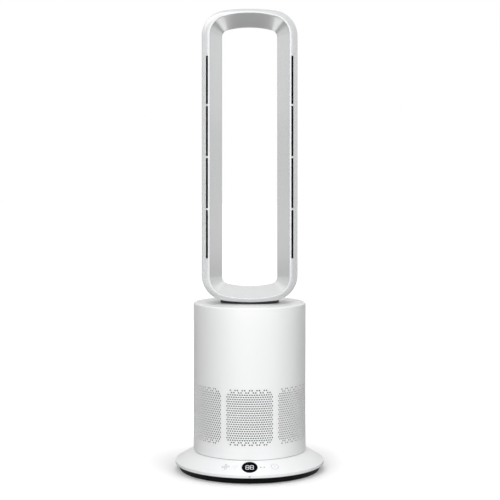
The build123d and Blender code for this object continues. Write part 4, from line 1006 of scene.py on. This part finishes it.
    def build(self) -> None:
        """Builds, dresses and settles the base's pieces."""
        settle(self.cover(), Body.BASE, WHITE, "base_cover")
        settle(self.lens(), Body.BASE, LENS_BLACK, "display_lens")
        settle(self.receiver(), Body.BASE, RECEIVER_GREY, "receiver_window")
        settle(self.digits(), Body.BASE, DIGIT_LIT)
        marks = [
            (Icon.AIR, -47 * MM, 7.4 * MM, 0.9 * MM, PRINT_GREY),
            (Icon.SWING, -28 * MM, 5.5 * MM, 0.7 * MM, PRINT_FAINT),
            (Icon.DOTS, 24.7 * MM, 3.3 * MM, 1.4 * MM, PRINT_GREY),
            (Icon.TIMER, 49.5 * MM, 7.2 * MM, 1.0 * MM, PRINT_FAINT),
        ]
        for kind, middle, size, thick, finish in marks:
            mark = self.icon(kind, middle, size, thick).object(f"key_mark_{kind.value}")
            settle(mark, Body.BASE, finish)


# ---------------------------------------------------------------- drum
@dataclass
class DrumAssembly:
    """The tall drum: a casing with a rounded rim and some 2,700 real air holes, and its top cover."""

    radius: float = 113.5 * MM
    inner_radius: float = 111.0 * MM
    low: float = 41 * MM
    high: float = 337 * MM
    edge_round: float = 3.2 * MM
    rim_width: float = 8.5 * MM
    disc_low: float = 333.5 * MM
    ledge_low: float = 46 * MM
    ledge_high: float = 49 * MM
    ledge_width: float = 5 * MM
    columns: int = 148
    rows: int = 25
    row_height: float = 4.42 * MM
    first_row: float = 67.8 * MM
    hole_radius: float = 1.6 * MM
    pierced_radius: float = 112.3 * MM
    panels: tuple[int, ...] = (0, 44, -44, 88, -88, 148)
    foot_ease: float = 0.5 * MM
    foot_high: float = 12 * MM
    side_lines: Flat = (230 * MM, 290 * MM)
    rim_ease: float = 0.4 * MM
    disc_gap: float = 0.2 * MM
    disc_thick: float = 3.5 * MM
    disc_slip: float = 0.5 * MM
    disc_steps: int = 256
    edge_steps: int = 9
    ease_steps: int = 3
    neck_opening: Flat = (52.2 * MM, 36.2 * MM)

    def halves(self) -> int:
        """The number of half columns round the drum."""
        return 2 * self.columns

    def spot(self, radius: float, half: float, height: float) -> Point:
        """A point of the drum's wall, its place round the drum in half columns from the front."""
        turn = 2 * pi * half / self.halves()
        return (radius * sin(turn), -radius * cos(turn), height)

    def is_open(self, row: int, half: int) -> bool:
        """Whether the cell at a place has a hole.

        Args:
            row: The row, from the lowest.
            half: The cell's middle, in half columns.

        Returns:
            True for a hole.
        """
        kind = list(Panel)[min(row, self.rows - 1 - row, len(Panel) - 1)]
        for panel in self.panels:
            across = ((half - panel + self.columns) % self.halves() - self.columns) / 2
            if abs(across) <= kind.value:
                return int(across + Panel.FULL.value) % 3 != CLOSED_COLUMN.get(kind)
        return False

    def wall(
        self, draft: Draft, radius: float
    ) -> tuple[dict[tuple[int, int], list[int]], list[int], list[int]]:
        """The perforated part of one face of the wall.

        Args:
            draft: Where it is added.
            radius: The face's distance from the axis.

        Returns:
            The hole rings' corner numbers by (row, half column), and those of the lower and the upper edge.
        """
        halves = self.halves()
        edges = []
        for line in range(self.rows + 1):
            height = self.first_row + line * self.row_height
            edges.append(draft.add([self.spot(radius, h, height) for h in range(halves)]))
        rings: dict[tuple[int, int], list[int]] = {}
        for row in range(self.rows):
            middle = self.first_row + (row + 0.5) * self.row_height
            first = row % 2
            sides = {}
            for h in range(first + 1, halves + first + 1, 2):
                sides[h % halves] = draft.add([self.spot(radius, h, middle)])[0]
            for h in range(first, halves + first, 2):
                before, here, after = (h - 1) % halves, h % halves, (h + 1) % halves
                low, high = edges[row], edges[row + 1]
                cell = [low[before], low[here], low[after], sides[after]]
                cell += [high[after], high[here], high[before], sides[before]]
                if not self.is_open(row, here):
                    draft.cap(cell)
                    continue
                step = self.hole_radius / (2 * pi * self.radius / halves)
                spots = []
                for turn in (225, 270, 315, 0, 45, 90, 135, 180):
                    a = radians(turn)
                    spots.append(self.spot(radius, h + step * cos(a), middle + self.hole_radius * sin(a)))
                hole = draft.add(spots)
                draft.strip(cell, hole)
                rings[(row, here)] = hole
        return rings, edges[0], edges[-1]

    def casing(self) -> bpy.types.Object:
        """The whole casing as one closed shell.

        Returns:
            The piece.
        """
        draft = Draft()
        halves = self.halves()

        def level(radius: float, height: float) -> list[int]:
            """Adds a circle of corners that matches the wall's half columns."""
            return draft.add([self.spot(radius, h, height) for h in range(halves)])

        outer, outer_low, outer_high = self.wall(draft, self.radius)
        inner, inner_low, inner_high = self.wall(draft, self.pierced_radius)
        for place, hole in outer.items():
            draft.strip(hole, inner[place])
        ease = self.foot_ease
        step = self.pierced_radius - self.inner_radius
        rows = [inner_low, level(self.inner_radius, self.first_row - step)]
        rows += [level(self.inner_radius, self.ledge_high)]
        rows += [level(self.inner_radius - self.ledge_width, self.ledge_high)]
        rows += [level(self.inner_radius - self.ledge_width, self.ledge_low)]
        rows += [level(self.inner_radius, self.ledge_low), level(self.inner_radius, self.low)]
        foot = arc((self.radius - ease, self.low + ease), ease, -90, 0, self.ease_steps)
        rows += [level(r, z) for r, z in foot]
        rows += [level(self.radius, self.low + self.foot_high), outer_low]
        for one, two in zip(rows, rows[1:]):
            draft.strip(one, two)
        rows = [outer_high] + [level(self.radius, z) for z in self.side_lines]
        round_at = (self.radius - self.edge_round, self.high - self.edge_round)
        rows += [level(r, z) for r, z in arc(round_at, self.edge_round, 0, 90, self.edge_steps)]
        inside = self.radius - self.rim_width
        rim_at = (inside + self.rim_ease, self.high - self.rim_ease)
        rows += [level(r, z) for r, z in arc(rim_at, self.rim_ease, 90, 180, self.ease_steps)]
        rows += [level(inside, self.disc_low), level(self.inner_radius, self.disc_low)]
        rows += [level(self.inner_radius, self.first_row + self.rows * self.row_height + step), inner_high]
        for one, two in zip(rows, rows[1:]):
            draft.strip(one, two)
        return draft.object("drum_shell")

    def top(self) -> bpy.types.Object:
        """The disc inside the rolled rim, with the oval opening for the neck.

        Returns:
            The piece.
        """
        draft = Draft()
        count, ease = self.disc_steps, self.rim_ease
        outer = self.radius - self.rim_width - self.disc_gap
        under = self.disc_low - self.disc_thick
        wide = self.inner_radius - self.disc_slip
        side = [(wide, under), (wide, self.disc_low), (outer, self.disc_low)]
        edge = arc((outer - ease, self.high - ease), ease, 0, 90, self.ease_steps)
        rings = [ring(r, z, count) for r, z in side + edge]
        rings += [oval(*self.neck_opening, z, count) for z in (self.high, under)]
        draft.loft(rings, loop=True)
        return draft.object("drum_top_disc")

    def build(self) -> None:
        """Builds, dresses and settles the drum's pieces."""
        settle(self.casing(), Body.TOWER, WHITE, "drum_casing")
        settle(self.top(), Body.TOWER, WHITE, "top_cover")


# ---------------------------------------------------------------- loop
@dataclass
class Outline:
    """A long ring: straight sides, round corners and gently arched ends."""

    half_width: float
    half_height: float
    corner: float
    arch: float
    middle: float
    side_steps: int = 24
    corner_steps: int = 20
    arch_steps: int = 24

    def quarter(self) -> list[Flat]:
        """The upper right quarter, from the side's middle to the top's middle.

        Returns:
            Points of (sideways, up), seen from the front.
        """
        reach = sqrt((self.arch - self.corner) ** 2 - (self.half_width - self.corner) ** 2)
        corner_z = self.half_height - self.arch + reach
        turn = atan2(reach, self.half_width - self.corner)
        points = [(self.half_width, corner_z * n / self.side_steps) for n in range(self.side_steps)]
        for n in range(self.corner_steps):
            a = turn * n / self.corner_steps
            x = self.half_width - self.corner + self.corner * cos(a)
            points.append((x, corner_z + self.corner * sin(a)))
        for n in range(self.arch_steps + 1):
            a = turn + (pi / 2 - turn) * n / self.arch_steps
            points.append((self.arch * cos(a), self.half_height - self.arch + self.arch * sin(a)))
        return points

    def points(self, y: float) -> list[Point]:
        """The whole ring at a depth.

        Args:
            y: The depth.

        Returns:
            The ring's corners.
        """
        quarter = self.quarter()
        ring_points = list(quarter)
        ring_points += [(-x, z) for x, z in reversed(quarter[:-1])]
        ring_points += [(-x, -z) for x, z in quarter[1:]]
        ring_points += [(x, -z) for x, z in reversed(quarter[1:-1])]
        return [(x, y, self.middle + z) for x, z in ring_points]


@dataclass
class LoopAssembly:
    """The tall loop: outer shell with its rounded back, neck, tapered inner wall and slotted front band."""

    low: float = 341.5 * MM
    height: float = 585 * MM
    half_width: float = 95.5 * MM
    corner: float = 51 * MM
    arch: float = 415 * MM
    front: float = -50 * MM
    back: float = 50 * MM
    back_round: float = 11 * MM
    back_drop: float = 2.7 * MM
    shell_wall: float = 2.5 * MM
    inner_wall: float = 2.2 * MM
    rear_lip: float = 9 * MM
    gap: float = 0.15 * MM
    band_thick: float = 3 * MM
    front_opening: tuple[float, float, float, float] = (16.5 * MM, 8.25 * MM, 38 * MM, 200 * MM)
    back_opening: tuple[float, float, float, float] = (38.7 * MM, 25.9 * MM, 15 * MM, 195 * MM)
    edge_round: float = 1.2 * MM
    edge_turn: float = 72.0
    band_ease: float = 0.9 * MM
    crown: float = 1.3 * MM
    crown_steps: int = 14
    flat_from: float = 0.85
    slot_width: float = 4 * MM
    slot_run: float = 403.8 * MM
    slot_bridge: float = 3.8 * MM
    bridge_count: int = 3
    bridge_pitch: float = 103.8 * MM
    slot_inset: float = 10.4 * MM
    slot_drop: float = 3.1 * MM
    neck_half: Flat = (52 * MM, 36 * MM)
    neck_low: float = 330 * MM
    drum_high: float = 337 * MM
    flange_out: float = 5 * MM
    flange_thick: float = 3 * MM
    neck_steps: int = 256
    back_steps: int = 12
    lip_ease: float = 0.4 * MM
    rear_round: float = 1.0 * MM
    depth_steps: int = 10
    rear_steps: int = 4
    band_steps: int = 8
    band_ease_steps: int = 5
    cutter_reach: Flat = (5 * MM, 8 * MM)

    def middle(self) -> float:
        """The height of the loop's middle."""
        return self.low + self.height / 2

    def outline(self, inset: float) -> Outline:
        """The loop's outline drawn in by an inset.

        Args:
            inset: How far it is drawn in.

        Returns:
            The outline.
        """
        width, height = self.half_width - inset, self.height / 2 - inset
        return Outline(width, height, self.corner - inset, self.arch - inset, self.middle())

    def opening(self, y: float, grow: float) -> Outline:
        """The opening's outline at a depth.

        Args:
            y: The depth.
            grow: How far it is grown by a wall.

        Returns:
            The outline.
        """
        share = (y - self.front) / (self.back - self.front)
        pairs = zip(self.front_opening, self.back_opening)
        side, end, corner, arch = (a + (b - a) * share for a, b in pairs)
        middle = self.middle() - self.back_drop * share
        width, height = self.half_width - side + grow, self.height / 2 - end + grow
        return Outline(width, height, corner + grow, arch + grow, middle)

    def outer_shell(self) -> bpy.types.Object:
        """The outer and rear wall with a rounded back edge.

        Returns:
            The piece.
        """
        draft = Draft()
        start = self.front + self.band_thick
        rings = [self.outline(0).points(start)]
        rings.append(self.outline(0).points(0))
        for n in range(self.back_steps + 1):
            a = radians(90 * n / self.back_steps)
            inset = self.back_round * (1 - cos(a))
            rings.append(self.outline(inset).points(self.back - self.back_round * (1 - sin(a))))
        ease = self.lip_ease
        edge = self.rear_lip + self.gap
        rings.append(self.opening(self.back, edge + ease).points(self.back))
        rings.append(self.opening(self.back, edge + 0.3 * ease).points(self.back - 0.3 * ease))
        rings.append(self.opening(self.back, edge).points(self.back - ease))
        rings.append(self.opening(self.back, edge).points(self.back - self.shell_wall))
        for n in range(self.back_steps, -1, -3):
            a = radians(90 * n / self.back_steps)
            reach = self.back_round - self.shell_wall
            inset = self.shell_wall + reach * (1 - cos(a))
            rings.append(self.outline(inset).points(self.back - self.back_round + reach * sin(a)))
        rings.append(self.outline(self.shell_wall).points(start))
        draft.loft(rings, loop=True)
        return draft.object("loop_back_shell")

    def inner_shell(self) -> bpy.types.Object:
        """The wall round the opening, from the band to a rounded rear lip.

        Returns:
            The piece.
        """
        draft = Draft()
        start = self.front + self.band_thick
        ease, lip_ease = self.rear_round, self.lip_ease
        rings = [self.opening(start, 0).points(start)]
        steps = self.depth_steps
        for n in range(1, steps + 1):
            y = start + (self.back - ease - start) * n / steps
            rings.append(self.opening(y, 0).points(y))
        for n in range(1, self.rear_steps + 1):
            a = radians(90 * n / self.rear_steps)
            y = self.back - ease * (1 - sin(a))
            rings.append(self.opening(self.back, ease * (1 - cos(a))).points(y))
        rings.append(self.opening(self.back, self.rear_lip - lip_ease).points(self.back))
        rings.append(self.opening(self.back, self.rear_lip).points(self.back - lip_ease))
        inside = self.back - self.shell_wall
        rings.append(self.opening(self.back, self.rear_lip).points(inside))
        for n in range(steps, -1, -1):
            y = start + (inside - start) * n / steps
            rings.append(self.opening(y, self.inner_wall).points(y))
        draft.loft(rings, loop=True)
        return draft.object("loop_opening_wall")

    def neck(self) -> bpy.types.Object:
        """The oval neck with its flange, from inside the drum up into the shell's arched lower end.

        Returns:
            The piece.
        """
        draft = Draft()

        def grown(grow: float, height: float) -> list[Point]:
            """A level oval, grown out of the neck's outside."""
            return oval(self.neck_half[0] + grow, self.neck_half[1] + grow, height, self.neck_steps)

        def under_arch(points: list[Point]) -> list[Point]:
            """The same oval with its top brought into the wall of the arched shell."""
            base = self.low + self.arch + self.shell_wall / 2
            return [(x, y, base - sqrt(self.arch**2 - x * x)) for x, y, _ in points]

        flange = self.drum_high + self.flange_thick
        rings = [grown(0, self.neck_low), grown(0, self.drum_high), grown(self.flange_out, self.drum_high)]
        rings += [grown(self.flange_out, flange), grown(0, flange), under_arch(grown(0, flange))]
        rings += [under_arch(grown(-self.shell_wall, flange)), grown(-self.shell_wall, self.neck_low)]
        draft.loft(rings, loop=True)
        return draft.object("loop_neck_tube")

    def slot_spans(self) -> list[Flat]:
        """The lower and upper end of each air slot.

        Returns:
            The heights (lower, upper) of each slot of the row, from the lowest.
        """
        middle = self.middle() - self.slot_drop
        half, rib = self.slot_run / 2, self.slot_bridge / 2
        first = (self.bridge_count - 1) / 2
        bridges = [middle + self.bridge_pitch * (n - first) for n in range(self.bridge_count)]
        lows = [middle - half] + [z + rib for z in bridges]
        highs = [z - rib for z in bridges] + [middle + half]
        return list(zip(lows, highs))

    def slot_cutters(self) -> list[bpy.types.Object]:
        """Bars where the air slots go through the band.

        Returns:
            The bars, to be taken away from the band.
        """
        cutters = []
        half = self.slot_width / 2
        for side in (-1, 1):
            x = side * (self.half_width - self.slot_inset)
            for low_z, high_z in self.slot_spans():
                low = (x - half, self.front - self.cutter_reach[0], low_z)
                high = (x + half, self.front + self.cutter_reach[1], high_z)
                cutters.append(block("slot_cutter", low, high))
        return cutters

    def band(self) -> bpy.types.Object:
        """The front ring: flat beside the opening, crowned towards the outside, with the air slots.

        Returns:
            The piece.
        """
        draft = Draft()
        back = self.front + self.band_thick
        inner = self.opening(self.front, self.band_ease).points(self.front)
        outer = self.outline(self.edge_round).points(self.front)
        rings = [self.outline(0).points(back)]
        for n in range(self.band_steps):
            a = radians(self.edge_turn * n / self.band_steps)
            inset = self.edge_round * (1 - cos(a))
            y = self.front + self.crown + self.edge_round * (1 - sin(a))
            rings.append(self.outline(inset).points(y))
        for n in range(self.crown_steps + 1):
            share = n / self.crown_steps
            left = max(0.0, 1 - share / self.flat_from)
            y = self.front + self.crown * left * left
            level = []
            for one, two in zip(outer, inner):
                level.append((one[0] + (two[0] - one[0]) * share, y, one[2] + (two[2] - one[2]) * share))
            rings.append(level)
        for n in range(1, self.band_ease_steps + 1):
            a = radians(90 * n / self.band_ease_steps)
            grow = self.band_ease * (1 - sin(a))
            rings.append(self.opening(self.front, grow).points(self.front + self.band_ease * (1 - cos(a))))
        rings.append(self.opening(back, 0).points(back))
        draft.loft(rings, loop=True)
        band = draft.object("front_ring")
        cut(band, self.slot_cutters())
        return band

    def build(self) -> None:
        """Builds, dresses and settles the loop's pieces."""
        settle(self.outer_shell(), Body.TOWER, SILVER, "loop_outer_shell")
        settle(self.neck(), Body.TOWER, SILVER)
        settle(self.inner_shell(), Body.TOWER, SILVER, "loop_inner_wall")
        settle(self.band(), Body.TOWER, SILVER, "front_band")


# ---------------------------------------------------------------- nodes that keep their shape
KEPT = (
    (RUBBER, "rubber_feet neck_gasket"),
    (PAN_BLACK, "base_pan"),
    (ZINC_SCREW, "base_screws keeper_screws casing_screws impeller_nut neck_screws"),
    (PLAIN_STEEL, "ballast_plate"),
    (MODULE_DARK, "display_module power_inlet"),
    (BOARD, "touch_strip main_board driver_board"),
    (ZINC, "stepper_motor keeper_plate"),
    (ACETAL, "glide_ring drive_pinion ring_gear"),
    (LEAD_BLACK, "base_lead tower_lead"),
    (SHAFT, "pinion_shaft motor_shaft motor_bearings"),
    (INNER_GREY, "turntable fan_deck inlet_bellmouth fan_shroud stator_vanes motor_cup motor_cap air_duct"),
    (NET_DARK, "dust_screen"),
    (IMPELLER_BLACK, "impeller"),
    (COPPER, "motor_stator"),
    (MAGNET, "magnet_rotor"),
    (NOZZLE_BLACK, "outlet_nozzles"),
)


@dataclass
class KeptNodes:
    """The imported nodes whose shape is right. Eleven show a plain material, as Finish.material says."""

    nodes: dict[str, bpy.types.Object]

    def build(self) -> None:
        """Dresses every kept node."""
        for finish, names in KEPT:
            for name in names.split():
                self.nodes[name].data.materials.clear()
                self.nodes[name].data.materials.append(finish.material())
                LOG.info("%s: kept, finish %s", name, finish.name)


# ---------------------------------------------------------------- studio
@dataclass(frozen=True)
class Lamp:
    """A soft rectangular lamp, hidden from the camera. A glossy one shows in reflections."""

    name: str
    place: Point
    aim: Point
    size: Flat
    power: float
    glossy: bool = False

    def build(self) -> None:
        """Hangs the lamp and points it."""
        data = bpy.data.lights.new(self.name, "AREA")
        data.shape = "RECTANGLE"
        data.size, data.size_y = self.size
        data.energy = self.power
        made = bpy.data.objects.new(self.name, data)
        made.location = self.place
        made.visible_camera = False
        made.visible_glossy = self.glossy
        made.rotation_euler = (Vector(self.aim) - Vector(self.place)).to_track_quat("-Z", "Y").to_euler()
        bpy.context.scene.collection.objects.link(made)


LAMPS = (
    Lamp("left_box", (-1.05, -2.9, 1.2), (0, 0, 0.45), (1.6, 2.4), 57.5),
    Lamp("right_box", (2.0, -2.4, 1.2), (0, 0, 0.45), (1.6, 2.4), 36.2),
    Lamp("top_box", (0, -0.6, 3.0), (0, 0, 0.3), (2.0, 2.0), 28.0),
    Lamp("high_card", (-0.6, -2.7, 1.9), (0, 0, 0.8), (1.5, 0.9), 3.2, glossy=True),
    Lamp("front_card", (0, -3.1, 0.64), (0, 0, 0.64), (0.5, 1.6), 3.0, glossy=True),
    Lamp("low_card", (-0.58, 2.0, 0.03), (-0.58, 2.0, 1.0), (0.8, 0.8), 2.4, glossy=True),
    Lamp("rear_card", (-0.68, 2.0, 1.0), (0, 0, 0.4), (0.35, 0.5), 0.12, glossy=True),
    Lamp("low_card", (0.58, 2.0, 0.03), (0.58, 2.0, 1.0), (0.8, 0.8), 2.4, glossy=True),
    Lamp("rear_card", (0.68, 2.0, 1.0), (0, 0, 0.4), (0.35, 0.5), 0.12, glossy=True),
    Lamp("rear_box", (0, 1.4, 1.0), (0, 0, 0.25), (0.9, 0.7), 5.5),
)


@dataclass
class Studio:
    """The floor, the surround, the lamps and the camera at the photograph's viewing angle.

    A lift is a glow of the floor: the distances from the axis between which it grows, then its least and
    its greatest strength. seen_lift_with_painted_shade is what the camera sees; weak beside the base, it
    paints shade round the base on top of the real contact shadow. gloss_lift is what reflections see.
    gloss_dim is how far reflections see floor_bounce in place of floor_colour.
    """

    distance: float = 2.789
    eye: float = 0.635
    lens: float = 99.0
    sensor: float = 36.0
    shift: Flat = (0.0007, -0.19)
    clip_end: float = 100.0
    floor_size: float = 30.0
    floor_colour: Colour = (0.88, 0.88, 0.88)
    floor_bounce: Colour = (0.3, 0.3, 0.3)
    gloss_dim: float = 0.45
    # the camera's glow is weak beside the base: painted shade round it, added to the real contact shadow
    seen_lift_with_painted_shade: tuple[float, float, float, float] = (0.14, 0.5, 0.22, 0.98)
    gloss_lift: tuple[float, float, float, float] = (2.0, 6.0, 0.14, 0.75)
    sky: float = 0.12
    gloss_sky: Flat = (0.8, 1.1)
    gloss_sky_top: float = 0.4

    def camera(self) -> None:
        """A level camera, shifted as the photograph is framed."""
        data = bpy.data.cameras.new("camera")
        data.lens, data.sensor_width = self.lens, self.sensor
        data.shift_x, data.shift_y = self.shift
        data.clip_end = self.clip_end
        made = bpy.data.objects.new("camera", data)
        made.location = (0, -self.distance, self.eye)
        made.rotation_euler = (pi / 2, 0, 0)
        bpy.context.scene.collection.objects.link(made)
        bpy.context.scene.camera = made

    def floor(self) -> None:
        """A pale floor that shows white where it is open, keeps the soft contact shadow, and glows less
        beside the base: painted shade round it.
        """
        draft = Draft()
        half = self.floor_size / 2
        corners = draft.add([(-half, -half, 0), (half, -half, 0), (half, half, 0), (-half, half, 0)])
        draft.cap(corners)
        made = draft.object("floor")
        paint = bpy.data.materials.new("pale_floor")
        paint.use_nodes = True
        tree = paint.node_tree
        tree.nodes.clear()
        path = wire(tree, "ShaderNodeLightPath", {}).outputs
        place = wire(tree, "ShaderNodeTexCoord", {}).outputs["Object"]
        away = wire(tree, "ShaderNodeVectorMath", {0: place}, operation="LENGTH").outputs["Value"]
        lifts = []
        # the first lift is weak near the axis, so the floor round the base gets painted shade; the second is
        # what reflections see
        for near, far, low, high in (self.seen_lift_with_painted_shade, self.gloss_lift):
            span = {"Value": away, "From Min": near, "From Max": far, "To Min": low, "To Max": high}
            lifts.append(wire(tree, "ShaderNodeMapRange", span).outputs["Result"])
        direct = calc(tree, "MAXIMUM", path["Is Camera Ray"], path["Is Transmission Ray"])
        direct = calc(tree, "MULTIPLY", direct, lifts[0])
        gloss = calc(tree, "MULTIPLY", path["Is Glossy Ray"], lifts[1])
        lift = calc(tree, "ADD", direct, gloss)
        dimmed = calc(tree, "MULTIPLY", path["Is Glossy Ray"], self.gloss_dim)
        dimmed = calc(tree, "MAXIMUM", path["Is Diffuse Ray"], dimmed)
        colour = mixed(tree, dimmed, (*self.floor_colour, 1), (*self.floor_bounce, 1))
        diffuse = wire(tree, "ShaderNodeBsdfDiffuse", {"Color": colour})
        glow = wire(tree, "ShaderNodeEmission", {"Color": (1, 1, 1, 1), "Strength": lift})
        both = wire(tree, "ShaderNodeAddShader", {0: diffuse.outputs[0], 1: glow.outputs[0]})
        wire(tree, "ShaderNodeOutputMaterial", {"Surface": both.outputs[0]})
        made.data.materials.append(paint)

    def world(self) -> None:
        """A white surround, dim as plain light, that gloss sees brighter higher up."""
        made = bpy.data.worlds.new("surround")
        bpy.context.scene.world = made
        made.use_nodes = True
        tree = made.node_tree
        tree.nodes.clear()
        path = wire(tree, "ShaderNodeLightPath", {}).outputs
        seen = calc(tree, "MAXIMUM", path["Is Camera Ray"], path["Is Transmission Ray"])
        place = wire(tree, "ShaderNodeTexCoord", {}).outputs["Generated"]
        up = wire(tree, "ShaderNodeSeparateXYZ", {0: place}).outputs[2]
        low, high = self.gloss_sky
        span = {"Value": up, "From Max": self.gloss_sky_top, "To Min": low, "To Max": high}
        gloss = wire(tree, "ShaderNodeMapRange", span)
        plain = {"Factor": path["Is Glossy Ray"], "A": self.sky, "B": gloss.outputs["Result"]}
        plain = wire(tree, "ShaderNodeMix", plain, data_type="FLOAT")
        strength = {"Factor": seen, "A": plain.outputs["Result"], "B": 1.0}
        strength = wire(tree, "ShaderNodeMix", strength, data_type="FLOAT")
        white = {"Color": (1, 1, 1, 1), "Strength": strength.outputs["Result"]}
        back = wire(tree, "ShaderNodeBackground", white)
        wire(tree, "ShaderNodeOutputWorld", {"Surface": back.outputs[0]})

    def build(self) -> None:
        """Sets up camera, floor, surround and lamps."""
        self.camera()
        self.floor()
        self.world()
        for lamp in LAMPS:
            lamp.build()
        bpy.context.scene.view_settings.view_transform = "Standard"


def main() -> None:
    """Loads the frame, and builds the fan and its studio."""
    logging.basicConfig(level=logging.INFO, format="%(name)s %(message)s")
    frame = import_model()
    Studio().build()
    BaseAssembly().build()
    DrumAssembly().build()
    LoopAssembly().build()
    KeptNodes(frame["nodes"]).build()


if __name__ == "__main__":
    main()
